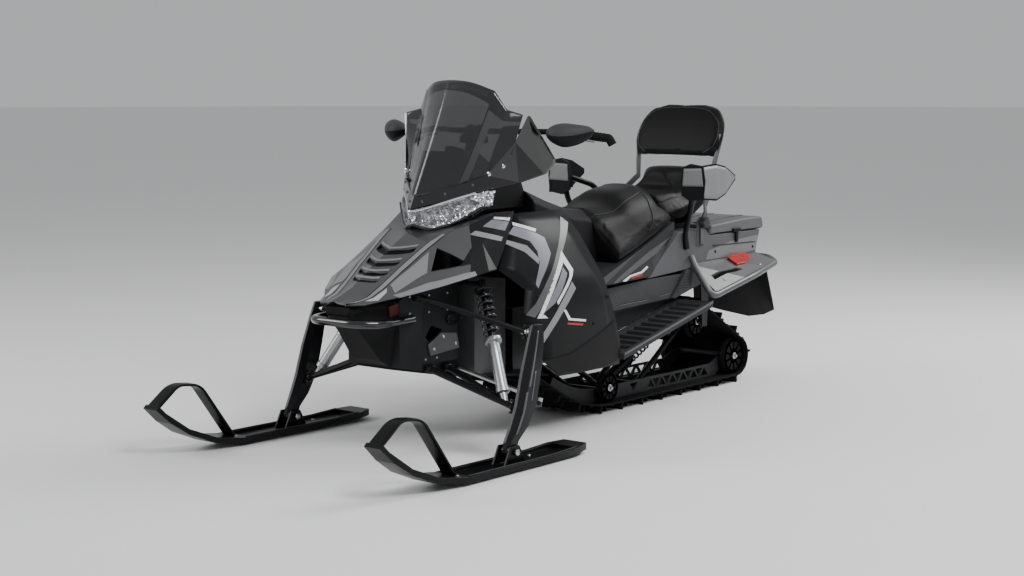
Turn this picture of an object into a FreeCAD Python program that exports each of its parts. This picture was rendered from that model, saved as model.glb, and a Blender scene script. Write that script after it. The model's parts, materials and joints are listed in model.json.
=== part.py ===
"""Two-up touring snowmobile: +X forward, +Y to its left, +Z up, origin on the ground below the middle.

Lengths are in millimetres. The driving dimensions are in the sheet, and the rest follows from them.
"""
import FreeCAD
import Part
import math
import os
import Sketcher
from FreeCAD import Placement, Rotation, Vector

DIMENSIONS = {
    # Skis and steering
    "ski_stance": 1080.0,
    "ski_width": 148.0,
    "ski_bolt_x": 870.0,
    "ski_bolt_z": 62.0,
    "ski_tail_x": 486.0,
    # Track and slide frame
    "track_width": 381.0,
    "belt_gauge": 6.0,
    "lug_height": 32.0,
    "sprocket_x": 300.0,
    "sprocket_z": 330.0,
    "sprocket_radius": 85.0,
    "rear_wheel_x": -1172.0,
    "rear_wheel_radius": 80.0,
    "carrier_x": -872.0,
    "carrier_z": 304.0,
    "carrier_radius": 70.0,
    "approach_x": -235.0,
    "approach_radius": 700.0,
    "front_wheel_radius": 60.0,
    "rail_offset": 118.0,
    "wheel_offset": 156.0,
    # Tunnel and body
    "tunnel_half": 212.0,
    "sheet_gauge": 3.0,
    "panel_gauge": 4.0,
    "board_outer": 400.0,
    "board_slope": 12.9,
    "trunk_half": 252.0,
    # Controls
    "grip_radius": 17.5,
    "steer_rake": 26.7,
    "tube_radius": 11.0,
}

doc = FreeCAD.newDocument("snowmobile")
sheet = doc.addObject("Spreadsheet::Sheet", "Dims")
for row, (alias, size) in enumerate(DIMENSIONS.items(), start=1):
    sheet.set(f"A{row}", alias.replace("_", " "))
    sheet.set(f"B{row}", str(size))
    sheet.setAlias(f"B{row}", alias)
doc.recompute()

PARTS = []


def cell(alias):
    """Value of one cell of the sheet."""
    return float(getattr(sheet, alias))


def value(term):
    """Number of a term, which is a number or an expression on the sheet's cells."""
    if isinstance(term, str):
        return float(signed_cell(term))
    return float(term)


def signed_cell(term):
    """Value of a cell's name, with an optional sign in front."""
    sign = -1.0 if term.startswith("-") else 1.0
    return sign * cell(term.lstrip("-"))


def keep(made):
    """Marks an object as a sub-part that is written to its own file."""
    PARTS.append(made)
    return made


def origin_plane(owner, role):
    """One of the three origin planes of a body."""
    for feature in owner.Origin.OriginFeatures:
        if feature.Role == role:
            return feature
    raise ValueError(role)


def new_body(label):
    """Empty body with its own label."""
    made = doc.addObject("PartDesign::Body", label)
    made.Label = label
    return made


def outline(owner, role, points, offset=0.0, circles=()):
    """Sketch on an origin plane, moved along its normal: a closed polygon and whole circles in it."""
    drawn = owner.newObject("Sketcher::SketchObject", "Outline")
    drawn.AttachmentSupport = [(origin_plane(owner, role), "")]
    drawn.MapMode = "FlatFace"
    drawn.AttachmentOffset = Placement(Vector(0, 0, value(offset)), Rotation())
    if isinstance(offset, str):
        sign = "-" if offset.startswith("-") else ""
        drawn.setExpression("AttachmentOffset.Base.z", f"{sign}Dims.{offset.lstrip('-')} * 1mm")
    count = len(points)
    corners = [Vector(value(u), value(v), 0) for u, v in points]
    for index in range(count):
        drawn.addGeometry(Part.LineSegment(corners[index], corners[(index + 1) % count]), False)
    for index in range(count):
        drawn.addConstraint(Sketcher.Constraint("Coincident", index, 2, (index + 1) % count, 1))
    for index, point in enumerate(points):
        for kind, term in zip(("DistanceX", "DistanceY"), point):
            number = drawn.addConstraint(Sketcher.Constraint(kind, index, 1, value(term)))
            if isinstance(term, str):
                sign = "-" if term.startswith("-") else ""
                drawn.setExpression(f"Constraints[{number}]", f"{sign}Dims.{term.lstrip('-')} * 1mm")
    for u, v, radius in circles:
        number = drawn.addGeometry(Part.Circle(Vector(u, v, 0), Vector(0, 0, 1), value(radius)), False)
        drawn.addConstraint(Sketcher.Constraint("DistanceX", number, 3, float(u)))
        drawn.addConstraint(Sketcher.Constraint("DistanceY", number, 3, float(v)))
        held = drawn.addConstraint(Sketcher.Constraint("Radius", number, value(radius)))
        if isinstance(radius, str):
            drawn.setExpression(f"Constraints[{held}]", f"Dims.{radius} * 1mm")
    return drawn


def length_term(feature, prop, term):
    """Sets a length, bound to the sheet where the term is a cell's name or an expression on cells."""
    if isinstance(term, str):
        feature.setExpression(prop, term)
    else:
        setattr(feature, prop, float(term))


def pad(owner, drawn, length, symmetric=False, reverse=False):
    """Pads a sketch along its normal."""
    feature = owner.newObject("PartDesign::Pad", "Pad")
    feature.Profile = drawn
    length_term(feature, "Length", length)
    if symmetric:
        feature.SideType = "Symmetric"
    feature.Reversed = reverse
    doc.recompute()
    return feature


def pocket(owner, drawn, length, symmetric=False, reverse=False, through=False):
    """Cuts a sketch out of the body, and checks that something went."""
    before = owner.Shape.Volume
    feature = owner.newObject("PartDesign::Pocket", "Pocket")
    feature.Profile = drawn
    if through:
        feature.Type = "ThroughAll"
    else:
        length_term(feature, "Length", length)
    if symmetric:
        feature.SideType = "Symmetric"
    feature.Reversed = reverse
    doc.recompute()
    if owner.Shape.Volume > before - 1:
        raise ValueError(f"{owner.Label}: a pocket cuts nothing")
    return feature


def repeated(owner, feature, drawn, axis, length, count):
    """Repeats a feature along one of its sketch's axes."""
    pattern = owner.newObject("PartDesign::LinearPattern", "Pattern")
    pattern.Originals = [feature]
    pattern.Direction = (drawn, [axis])
    pattern.Length = float(length)
    pattern.Occurrences = count
    owner.Tip = pattern
    doc.recompute()
    if owner.Shape.Volume > feature.Shape.Volume - 1:
        raise ValueError(f"{owner.Label}: a pattern cuts nothing")
    return pattern


def strip(points, height, gauge):
    """Closed ring of a thin strip at a height: a plan curve, then the same curve moved in by the gauge.

    The curve moves along the mean of its neighbours' left-hand normals.
    """
    moved = []
    last = len(points) - 1
    for index, (u, v) in enumerate(points):
        before = points[max(index - 1, 0)]
        after = points[min(index + 1, last)]
        du, dv = after[0] - before[0], after[1] - before[1]
        size = math.hypot(du, dv)
        moved.append((u - dv / size * gauge, v + du / size * gauge, height))
    return [(u, v, height) for u, v in points] + moved[::-1]


def shape_part(label, shape):
    """Sub-part whose shape is set from Part's own functions."""
    made = doc.addObject("Part::Feature", label)
    made.Label = label
    made.Shape = shape
    return keep(made)


def mirrored(label, source):
    """Right-hand sub-part, mirrored from the left-hand one."""
    made = doc.addObject("Part::Mirroring", label)
    made.Label = label
    made.Source = source
    made.Normal = (0, 1, 0)
    doc.recompute()
    return keep(made)


def rod(start, end, radius):
    """Round bar between two points."""
    start, end = Vector(*start), Vector(*end)
    return Part.makeCylinder(radius, start.distanceToPoint(end), start, end - start)


def bar(start, end, radius, sides=10):
    """Round bar between two points, of flat facets."""
    return tube_along([Vector(*start), Vector(*end)], radius, sides)


def ball_end(place, radius, axis, sides=10):
    """Ball of flat facets round an axis."""
    across = axis.cross(Vector(1, 0, 0)).normalize()
    upright = axis.cross(across).normalize()
    rings = []
    for climb in (-68, -38, 0, 38, 68):
        centre = place + axis * (radius * math.sin(math.radians(climb)))
        size = radius * math.cos(math.radians(climb))
        ring = []
        for step in range(sides):
            angle = 2 * math.pi * step / sides
            ring.append(tuple(centre + across * (size * math.cos(angle)) + upright * (size * math.sin(angle))))
        rings.append(ring)
    return faceted(rings)


def facet(corners):
    """Flat face of three or four corners."""
    return Part.Face(Part.makePolygon(list(corners) + [corners[0]]))


def patch(one, two, three, four, even=False):
    """Facets of four corners: one where they are flat, else two triangles, with even on the shorter diagonal."""
    normal = (two - one).cross(three - one)
    if normal.Length > 1e-6 and (four - one).Length > 1e-6 and (four - three).Length > 1e-6:
        if abs(normal.normalize().dot(four - one)) < 1e-6 and (two - one).Length > 1e-6:
            return [facet((one, two, three, four))]
    halves = ((one, two, three), (one, three, four))
    if even and (four - two).Length < (three - one).Length - 1e-6:
        halves = ((two, three, four), (two, four, one))
    return [facet(half) for half in halves if (half[1] - half[0]).cross(half[2] - half[0]).Length > 1e-3]


def faceted(rings, even=False):
    """Solid of flat facets through closed rings of equally many points, closed at both ends."""
    rings = [[Vector(*point) for point in ring] for ring in rings]
    count = len(rings[0])
    faces = []
    for one, two in zip(rings, rings[1:]):
        for index in range(count):
            after = (index + 1) % count
            faces += patch(one[index], one[after], two[after], two[index], even)
    for ring in (rings[0][::-1], rings[-1]):
        for index in range(count // 2 - 1):
            faces += patch(ring[index], ring[index + 1], ring[count - 2 - index], ring[count - 1 - index])
    shell = Part.makeShell(faces)
    if not shell.isClosed():
        raise ValueError("a faceted form isn't closed")
    solid = Part.makeSolid(shell)
    return solid if solid.Volume > 0 else faceted([ring[::-1] for ring in rings], even)


def folded_sheet(lines, back):
    """Sheet folded along straight or broken lines of equally many points, as thick as its back's offset."""
    rings = []
    for line in lines:
        far = [tuple(a + b for a, b in zip(point, back)) for point in line]
        rings.append(list(line) + far[::-1])
    return faceted(rings, True)


def bent_path(points, bend, steps=3):
    """Points of a path whose corners are rounded by arcs of one bend radius."""
    points = [Vector(*point) for point in points]
    path = [points[0]]
    for before, corner, after in zip(points, points[1:], points[2:]):
        inward = (before - corner).normalize()
        outward = (after - corner).normalize()
        turn = math.pi - inward.getAngle(outward)
        reach = bend * math.tan(turn / 2)
        first = corner + inward * reach
        side = (inward + outward).normalize()
        centre = corner + side * (bend / math.cos(turn / 2))
        axis = inward.cross(outward).normalize()
        spoke = first - centre
        for step in range(steps + 1):
            turned = Rotation(axis, -math.degrees(turn) * step / steps).multVec(spoke)
            path.append(centre + turned)
    path.append(points[-1])
    return path


def tube_along(path, radius, sides=12):
    """Round bar along a path: a ring of points at each corner, in the plane that halves its turn."""
    rings = []
    heading = (path[1] - path[0]).normalize()
    across = heading.cross(Vector(0, 0, 1))
    if across.Length < 0.1:
        across = heading.cross(Vector(0, 1, 0))
    across.normalize()
    for index, place in enumerate(path):
        behind = (place - path[index - 1]).normalize() if index else heading
        ahead = (path[index + 1] - place).normalize() if index + 1 < len(path) else behind
        middle = (behind + ahead).normalize()
        across = (across - middle * across.dot(middle)).normalize()
        upright = middle.cross(across)
        stretch = 1 / max(behind.dot(middle), 0.3)
        tilt = (ahead - behind)
        ring = []
        for step in range(sides):
            angle = 2 * math.pi * step / sides
            spoke = across * math.cos(angle) + upright * math.sin(angle)
            if tilt.Length > 1e-6:
                lean = tilt * (1 / tilt.Length)
                spoke = spoke + lean * (spoke.dot(lean) * (stretch - 1))
            ring.append(tuple(place + spoke * radius))
        rings.append(ring)
    return faceted(rings)


def bent_tube(points, radius, bend, sides=12):
    """Round bar along straight runs joined by arcs of one bend radius."""
    return tube_along(bent_path(points, bend), radius, sides)


def fused(pieces):
    """One shape from pieces that meet."""
    return pieces[0].multiFuse(pieces[1:]).removeSplitter()


def both_sides(shape):
    """Compound of a left-hand shape and its mirror image."""
    other = shape.mirror(Vector(0, 0, 0), Vector(0, 1, 0))
    return Part.Compound(list(shape.Solids) + list(other.Solids))


def box(low, high):
    """Box between two corners."""
    low, high = Vector(*low), Vector(*high)
    span = high - low
    return Part.makeBox(span.x, span.y, span.z, low)


def polygon_face(points, plane, offset):
    """Flat face of a closed polygon on a plane XY, XZ or YZ at an offset."""
    lift = {"XY": lambda u, v: Vector(u, v, offset),
            "XZ": lambda u, v: Vector(u, offset, v),
            "YZ": lambda u, v: Vector(offset, u, v)}[plane]
    corners = [lift(u, v) for u, v in points]
    return Part.Face(Part.makePolygon(corners + corners[:1]))


def slab(points, plane, start, end):
    """Prism of a polygon between two offsets along its plane's normal."""
    run = {"XY": Vector(0, 0, 1), "XZ": Vector(0, 1, 0), "YZ": Vector(1, 0, 0)}[plane]
    return polygon_face(points, plane, start).extrude(run * (end - start))


def reach(stub, target, start):
    """Part of a stub from its start to the target that it runs into."""
    pieces = stub.cut(target).Solids
    return min(pieces, key=lambda solid: (solid.CenterOfMass - Vector(*start)).Length)


def both_ways(lines):
    """Lines of a left half that starts on the middle plane, with their mirror images before them."""
    other = [tuple((x, -y, z) for x, y, z in line) for line in lines[:0:-1]]
    return other + list(lines)


def tangent_loop(circles, spare=0.0):
    """Belt line round circles (x, z, radius), all enlarged by spare: straight runs and arcs.

    The circles are taken in anticlockwise order, and each run is their outer tangent.
    """
    count = len(circles)
    runs = []
    for index in range(count):
        x0, z0, r0 = circles[index]
        x1, z1, r1 = circles[(index + 1) % count]
        r0, r1 = r0 + spare, r1 + spare
        dx, dz = x1 - x0, z1 - z0
        gap = math.hypot(dx, dz)
        heading = math.atan2(dz, dx)
        normal = heading - math.pi / 2 + math.asin((r0 - r1) / gap)
        turn = Vector(math.cos(normal), 0, math.sin(normal))
        runs.append((Vector(x0, 0, z0) + turn * r0, Vector(x1, 0, z1) + turn * r1))
    edges = []
    for index in range(count):
        start, end = runs[index]
        edges.append(Part.LineSegment(start, end).toShape())
        following = runs[(index + 1) % count][0]
        x, z, radius = circles[(index + 1) % count]
        centre = Vector(x, 0, z)
        first, last = end - centre, following - centre
        a0, a1 = math.atan2(first.z, first.x), math.atan2(last.z, last.x)
        if a1 < a0:
            a1 += 2 * math.pi
        middle = (a0 + a1) / 2
        through = centre + Vector(math.cos(middle), 0, math.sin(middle)) * (radius + spare)
        edges.append(Part.Arc(end, through, following).toShape())
    return Part.Wire(edges)


# Track: a belt loop with a bar and a row of lugs at each pitch
belt = cell("belt_gauge")
lug = cell("lug_height")
belt_inside = belt + lug
wheel_rear_z = belt_inside + cell("rear_wheel_radius")
LOOP = [
    (cell("rear_wheel_x"), wheel_rear_z, cell("rear_wheel_radius")),
    (cell("approach_x"), belt_inside + cell("approach_radius"), cell("approach_radius")),
    (cell("sprocket_x"), cell("sprocket_z"), cell("sprocket_radius")),
    (cell("carrier_x"), cell("carrier_z"), cell("carrier_radius")),
]
inner_line = tangent_loop(LOOP)
outer_line = tangent_loop(LOOP, belt)
half_track = cell("track_width") / 2
ring = Part.Face(outer_line).cut(Part.Face(inner_line))
loop_solid = ring.extrude(Vector(0, cell("track_width"), 0))
loop_solid.translate(Vector(0, -half_track, 0))
lug_pitch = 73.0
lug_count = 2 * round(outer_line.Length / lug_pitch / 2)
lug_sink = 2.0
BAR_LUG = (20.0, 14.0, 7.0)
EVEN_SPANS = ((-182, -92), (-60, 60), (92, 182))
ODD_SPANS = ((-150, -34), (34, 150))


def cross_block(place, run, foot, tip, height, low, high):
    """Block across the belt between two offsets, narrower at its tip."""
    out = Vector(run.z, 0, -run.x)
    corners = [place - run * (foot / 2) - out * lug_sink, place + run * (foot / 2) - out * lug_sink,
               place + run * (tip / 2) + out * height, place - run * (tip / 2) + out * height]
    ring = [Vector(one.x, low, one.z) for one in corners]
    return Part.Face(Part.makePolygon(ring + ring[:1])).extrude(Vector(0, high - low, 0))


lugs = []
lug_places = outer_line.discretize(Number=lug_count + 1)
for number, place in enumerate(lug_places[:-1]):
    run = (lug_places[number + 1] - lug_places[number - 1 if number else -2]).normalize()
    foot, tip, bar_height = BAR_LUG
    lugs.append(cross_block(place, run, foot, tip, bar_height, -half_track + 6, half_track - 6))
    for low, high in EVEN_SPANS if number % 2 == 0 else ODD_SPANS:
        lugs.append(cross_block(place, run, 13.0, 8.0, lug, low, high))
ground = box((-2000, -300, -60), (2000, 300, 0))
shape_part("track", loop_solid.multiFuse(lugs).cut(ground))

# Slide rails: truss plates on the belt, curved up along it in front and carried to the rear axle
fit_gap = 0.4
rail_bottom = belt_inside + fit_gap
bend_x, bend_z, bend_r = LOOP[1]
rail_low = bend_r - fit_gap
rail_high = bend_r - 56.0
rail_front = 0.52
rail_rear = -1085.0


def on_bend(angle, radius):
    """Point on the approach curve, at an angle ahead of its lowest point."""
    return Vector(bend_x + radius * math.sin(angle), 0, bend_z - radius * math.cos(angle))


tail = [Vector(rail_rear + 40, 0, bend_z - rail_high), Vector(-1120, 0, 122), Vector(-1188, 0, 140),
        Vector(-1200, 0, 118), Vector(-1188, 0, 96), Vector(-1120, 0, 62), Vector(rail_rear, 0, rail_bottom)]
rail_edges = [
    Part.LineSegment(tail[-1], on_bend(0, rail_low)).toShape(),
    Part.Arc(on_bend(0, rail_low), on_bend(rail_front / 2, rail_low), on_bend(rail_front, rail_low)).toShape(),
    Part.LineSegment(on_bend(rail_front, rail_low), on_bend(rail_front, rail_high)).toShape(),
    Part.Arc(on_bend(rail_front, rail_high), on_bend(rail_front / 2, rail_high), on_bend(0, rail_high)).toShape(),
    Part.LineSegment(on_bend(0, rail_high), tail[0]).toShape(),
]
rail_edges += [Part.LineSegment(a, b).toShape() for a, b in zip(tail, tail[1:])]
rail_gauge = 9.0
rail = Part.Face(Part.Wire(rail_edges)).extrude(Vector(0, rail_gauge, 0))
rail.translate(Vector(0, cell("rail_offset"), 0))
wheel_y = cell("wheel_offset")
front_wheel_z = belt_inside + cell("front_wheel_radius")
AXLES = [
    (cell("rear_wheel_x"), wheel_rear_z, cell("rear_wheel_radius")),
    (cell("approach_x"), front_wheel_z, cell("front_wheel_radius")),
    (cell("carrier_x"), cell("carrier_z"), cell("carrier_radius")),
]
axle_radius = 12.0
SHAFTS = [(-520.0, 70.0), (-300.0, 70.0), (-410.0, 72.0)]
shaft_radius = 10.0
truss_low, truss_high, truss_pitch = 48.0, 84.0, 82.0
for number in range(9):
    for shift, (flat, point) in ((0, (truss_low, truss_high)), (truss_pitch / 2, (truss_high, truss_low))):
        start = -1026.0 + number * truss_pitch + shift
        if min(abs(start + 28 - x) for x, z in SHAFTS) > 44:
            hole = slab([(start, flat), (start + 56, flat), (start + 28, point)], "XZ", 100, 150)
            rail = rail.cut(hole)
for x, z, radius in AXLES[:2]:
    rail = rail.cut(rod((x, 100, z), (x, 150, z), axle_radius))
for x, z in SHAFTS:
    rail = rail.cut(rod((x, 100, z), (x, 150, z), shaft_radius))
shape_part("slide_rails", both_sides(rail))


def spoked_wheel(x, z, radius, middle, width=26.0, spokes=10):
    """Wheel whose windows leave a rim, a hub and straight spokes, with its faces each side of its middle."""
    made = Part.makeCylinder(radius - fit_gap, width, Vector(x, middle - width / 2, z), Vector(0, 1, 0))
    low, high = radius * 0.42, radius * 0.8
    half_turn = math.pi / spokes
    for number in range(spokes):
        at = 2 * half_turn * number
        near, far = half_turn * 0.52, half_turn * 0.74
        corners = [(x + r * math.cos(at + turn), z + r * math.sin(at + turn))
                   for r, turn in ((low, -near), (high, -far), (high, far), (low, near))]
        made = made.cut(slab(corners, "XZ", middle - width, middle + width))
    return made


wheels = []
for x, z, radius in AXLES[::2]:
    reach_y = 203.0 if x == cell("carrier_x") else wheel_y + 20
    pieces = [spoked_wheel(x, z, radius, wheel_y), spoked_wheel(x, z, radius, -wheel_y)]
    wheels.append(fused(pieces + [rod((x, -reach_y, z), (x, reach_y, z), axle_radius)]))
x, z, radius = AXLES[1]
stub_wheel = fused([spoked_wheel(x, z, radius, wheel_y), rod((x, 113, z), (x, wheel_y + 20, z), axle_radius)])
wheels.append(both_sides(stub_wheel))
shape_part("idler_wheels", Part.Compound([solid for one in wheels for solid in one.Solids]))

# Drive axle with its toothed sprockets
inner_half = cell("tunnel_half") - cell("sheet_gauge")
drive_x, drive_z, drive_r = cell("sprocket_x"), cell("sprocket_z"), cell("sprocket_radius")
drive = [rod((drive_x, -inner_half, drive_z), (drive_x, inner_half, drive_z), 18)]
tooth_count = 8
for y in (-95, 95):
    corners = []
    for step in range(2 * tooth_count):
        swing = math.pi * step / tooth_count
        size = drive_r - fit_gap if step % 2 == 0 else drive_r * 0.86
        corners += [(drive_x + size * math.cos(swing + turn), drive_z + size * math.sin(swing + turn))
                    for turn in (-0.1, 0.1)]
    drive.append(slab(corners, "XZ", y - 30, y + 30))
shape_part("drive_axle", fused(drive))

# Tunnel: an inverted channel of sheet over the track
slope = math.tan(math.radians(cell("board_slope")))
tunnel_front, tunnel_rear = 442.0, -1130.0


def board_line(x):
    """Height of the running boards' line at a station."""
    return 282.0 - slope * x


def tunnel_top(x):
    """Height of the tunnel's top at a station."""
    return 492.0 + (tunnel_front - x) * 0.05407


def tray_top(x):
    """Height of the belly tray's floor at a station."""
    return 258.0 + (x - 400.0) * 0.04 if x < 700 else 270.0 + (x - 700.0) * 0.1951


tunnel = new_body("tunnel")
TUNNEL_SIDE = [(tunnel_front, tray_top(tunnel_front)), (tunnel_front, tunnel_top(tunnel_front)),
               (tunnel_rear, tunnel_top(tunnel_rear)), (tunnel_rear, board_line(tunnel_rear)),
               (60.0, board_line(60.0))]
pad(tunnel, outline(tunnel, "XZ_Plane", TUNNEL_SIDE), "Dims.tunnel_half * 2mm", symmetric=True)
gauge = cell("sheet_gauge")
TUNNEL_CORE = [(tunnel_front + 20, 0.0), (tunnel_front + 20, tunnel_top(tunnel_front + 20) - gauge),
               (tunnel_rear - 50, tunnel_top(tunnel_rear - 50) - gauge), (tunnel_rear - 50, 0.0)]
pocket(tunnel, outline(tunnel, "XZ_Plane", TUNNEL_CORE), "(Dims.tunnel_half - Dims.sheet_gauge) * 2mm",
       symmetric=True)
keep(tunnel)

# Skid arms between the rails and the tunnel, with the rear shock and the carrier wheels' hangers
front_shaft = (60.0, 285.0)
arms = [bar((x, -127, z), (x, 127, z), shaft_radius) for x, z in SHAFTS]
arms.append(bar((front_shaft[0], -inner_half, front_shaft[1]), (front_shaft[0], inner_half, front_shaft[1]), 13))
for y in (-98, 98):
    arms.append(bar((SHAFTS[1][0], y, SHAFTS[1][1]), (front_shaft[0], y, front_shaft[1]), 12))
    arms.append(bar((SHAFTS[0][0], y, SHAFTS[0][1]), (cell("carrier_x"), y, cell("carrier_z")), 12))
cross_tube = (-770.0, 236.0)
arms.append(bar((cross_tube[0], -98, cross_tube[1]), (cross_tube[0], 98, cross_tube[1]), 11))
shock_eye = Vector(SHAFTS[2][0], 0, SHAFTS[2][1])
shock_end = Vector(cross_tube[0], 0, cross_tube[1])
half_way = shock_eye + (shock_end - shock_eye) * 0.55
arms += [bar(shock_eye, half_way, 24), bar(half_way, shock_end, 9)]
HANGER = [(-890, 286), (-854, 286), (-836, 520), (-908, 520)]
arms_shape = fused(arms)
hangers = [slab(HANGER, "XZ", y, y + 5.7) for y in (203.0, -208.7)]
axle_hole = rod((AXLES[2][0], -300, AXLES[2][1]), (AXLES[2][0], 300, AXLES[2][1]), axle_radius + 0.3)
shape_part("skid_arms", Part.Compound([arms_shape.cut(axle_hole)] + hangers))

# Running boards: plates with a ladder of slots
board = new_body("left_running_board")
board_front, board_rear = -14.0, -642.0
board_deep = 22.0
BOARD_SIDE = [(board_front, board_line(board_front)), (board_rear, board_line(board_rear)),
              (board_rear, board_line(board_rear) - board_deep), (board_front, board_line(board_front) - board_deep)]
pad(board, outline(board, "XZ_Plane", BOARD_SIDE, "-board_outer"), "(Dims.board_outer - Dims.tunnel_half) * 1mm")
slot_sketch = outline(board, "XY_Plane", [(-596, 246), (-564, 246), (-564, 372), (-596, 372)], 700.0)
slot_cut = pocket(board, slot_sketch, 0, through=True)
repeated(board, slot_cut, slot_sketch, "H_Axis", 500, 11)
keep(board)
mirrored("right_running_board", board)

# Seat base: a lofted box on the tunnel, cut behind along its split with the trunk
SEAT_LINE = [(300.0, 560.0), (-20.0, 568.0), (-320.0, 660.0), (-610.0, 753.0)]


def base_top(x):
    """Height of the seat base's top at a station."""
    for (x0, z0), (x1, z1) in zip(SEAT_LINE, SEAT_LINE[1:]):
        if x >= x1:
            return z0 + (z1 - z0) * (x - x0) / (x1 - x0)
    return SEAT_LINE[-1][1]


BASE = [(300.0, 305.0), (-20.0, 296.0), (-320.0, 268.0), (-610.0, 236.0)]
chine = 545.0
base_rings = []
for x, half in BASE:
    base_rings.append([(x, -cell("tunnel_half"), tunnel_top(x)), (x, cell("tunnel_half"), tunnel_top(x)),
                       (x, half, chine), (x, half - 12, base_top(x)), (x, 12 - half, base_top(x)),
                       (x, -half, chine)])
split = slab([(-377, tunnel_top(-377)), (-607, 711), (-620, 760), (-720, 760), (-720, 500), (-377, 500)],
             "XZ", -400, 400)
seat_base = faceted(base_rings).cut(split)
shape_part("seat_base", seat_base)

# Trunk: a hollow box on the tunnel, with its lid hinged along the front edge and the backrest's brackets
half = cell("trunk_half")
TRUNK_SIDE = [(-377, tunnel_top(-377)), (tunnel_rear, tunnel_top(tunnel_rear)), (-1205, 582), (-1240, 682),
              (-842, 682), (-803, 711), (-607.3, 711)]
trunk = slab(TRUNK_SIDE, "XZ", -half, half)
trunk = trunk.cut(slab([(-846, 596), (-1188, 604), (-1222, 700), (-846, 700)], "XZ", -half + 12, half - 12))
PIVOT = (-760.0, 742.0)
bracket_end = half + 5.7
BRACKET = [(-788, 648), (-732, 648), (-734, 754), (-750, 766), (-770, 766), (-786, 754)]
brackets = [slab(BRACKET, "XZ", half, bracket_end), slab(BRACKET, "XZ", -bracket_end, -half)]
shape_part("trunk_box", fused([trunk] + brackets))
LID_SIDE = [(-842, 684), (-1262, 684), (-1272, 700), (-1258, 738), (-1110, 738), (-850, 724)]
shape_part("trunk_lid", slab(LID_SIDE, "XZ", -half, half))

# Panels on the tunnel's sides, and the heel guards behind them
def tunnel_panel(label, points, depth):
    """Plate that stands out from the tunnel's left side, below the seat base and the trunk."""
    drawn = new_body(label.replace("left_", "plain_"))
    pad(drawn, outline(drawn, "XZ_Plane", points, "-tunnel_half"), depth, reverse=True)
    made = shape_part(label, drawn.Shape.cut(seat_base).cut(trunk))
    mirrored(label.replace("left", "right"), made)


tunnel_panel("left_tunnel_panel", [(-97, 520), (-138, 426), (-542, 440), (-640, 535), (-377, 534), (-320, 531)], 36)
tunnel_panel("left_heel_guard", [(-558, 446), (-690, 474), (-716, 550), (-662, 552)], 44)

# Engine, one plain block in its bay
ENGINE = [(470, tray_top(470)), (650, tray_top(650)), (650, 610), (470, 610)]
shape_part("engine", slab(ENGINE, "XZ", -200, 200))

# Belly: a boat-shaped nose with a tray behind it
nose_rear = 975.0
NOSE = [
    (1160.0, 50.0, 524.0, 66.0, 556.0),
    (1096.0, 58.0, 452.0, 90.0, 566.0),
    (1017.0, 72.0, 352.0, 112.0, 566.0),
    (nose_rear, 84.0, 324.0, 126.0, 566.0),
]
nose_rings = []
for x, low_half, low, high_half, high in NOSE:
    nose_rings.append([(x, -low_half, low), (x, low_half, low), (x, high_half, high - 14), (x, high_half - 6, high),
                       (x, 6 - high_half, high), (x, -high_half, high - 14)])
shape_part("belly_pan", faceted(nose_rings))
tray_gauge = 8.0
tray = new_body("plain_tray")
TRAY_SIDE = [(400.0, tray_top(400)), (700.0, tray_top(700)), (905.0, tray_top(905)), (nose_rear, tray_top(nose_rear)),
             (nose_rear, tray_top(nose_rear) - tray_gauge), (905.0, tray_top(905) - tray_gauge),
             (700.0, tray_top(700) - tray_gauge), (400.0, tray_top(400) - tray_gauge)]
pad(tray, outline(tray, "XZ_Plane", TRAY_SIDE), 800, symmetric=True)
TRAY_PLAN = [(400, 356), (560, 240), (700, 150), (905, 112), (nose_rear, 84)]
plan = slab(TRAY_PLAN + [(x, -y) for x, y in TRAY_PLAN[::-1]], "XY", 200, 400)
shape_part("belly_tray", tray.Shape.common(plan))

# Hood: a shell with a crowned middle, two ridges and sloping sides, with louvre slots and side intakes
HOOD = [
    (1180.0, 62.0, 566.0, 50.0, 571.0, 581.0),
    (1140.0, 108.0, 566.0, 66.0, 572.0, 594.0),
    (1083.0, 140.0, 577.0, 73.0, 586.0, 617.0),
    (1035.0, 184.0, 592.0, 84.0, 614.0, 650.0),
    (920.0, 262.0, 622.0, 108.0, 690.0, 720.0),
    (800.0, 308.0, 650.0, 131.0, 764.0, 790.0),
    (715.0, 324.0, 666.0, 166.0, 806.0, 804.0),
    (664.0, 318.0, 668.0, 187.0, 822.0, 812.0),
    (560.0, 288.0, 780.0, 226.0, 858.0, 830.0),
    (486.0, 252.0, 858.0, 246.0, 864.0, 842.0),
]
hood_gauge = 5.0


def hood_points(x, sink):
    """Points of one hood section on the left, from its edge to the middle, sunk by an amount."""
    for one, two in zip(HOOD, HOOD[1:]):
        if x >= two[0]:
            share = (one[0] - x) / (one[0] - two[0])
            station = [a + (b - a) * share for a, b in zip(one, two)]
            break
    _, edge, edge_z, ridge, ridge_z, crown = station
    flank = (edge * 0.45 + ridge * 0.55 + 6, edge_z * 0.45 + ridge_z * 0.55 + 4)
    points = [(edge, edge_z), flank, (ridge, ridge_z), (ridge * 0.5, (ridge_z + crown) / 2 - 3), (0.0, crown)]
    return [(x, max(y - sink * 0.8, 0.0), z - sink) for y, z in points]


def hood_ring(x, gauge, sink=0.0):
    """Closed ring of a hood section."""
    outer = hood_points(x, sink)
    outer += [(x, -y, z) for _, y, z in outer[-2::-1]]
    inner = hood_points(x, sink + gauge)
    inner += [(x, -y, z) for _, y, z in inner[-2::-1]]
    return outer + inner[::-1]


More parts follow.
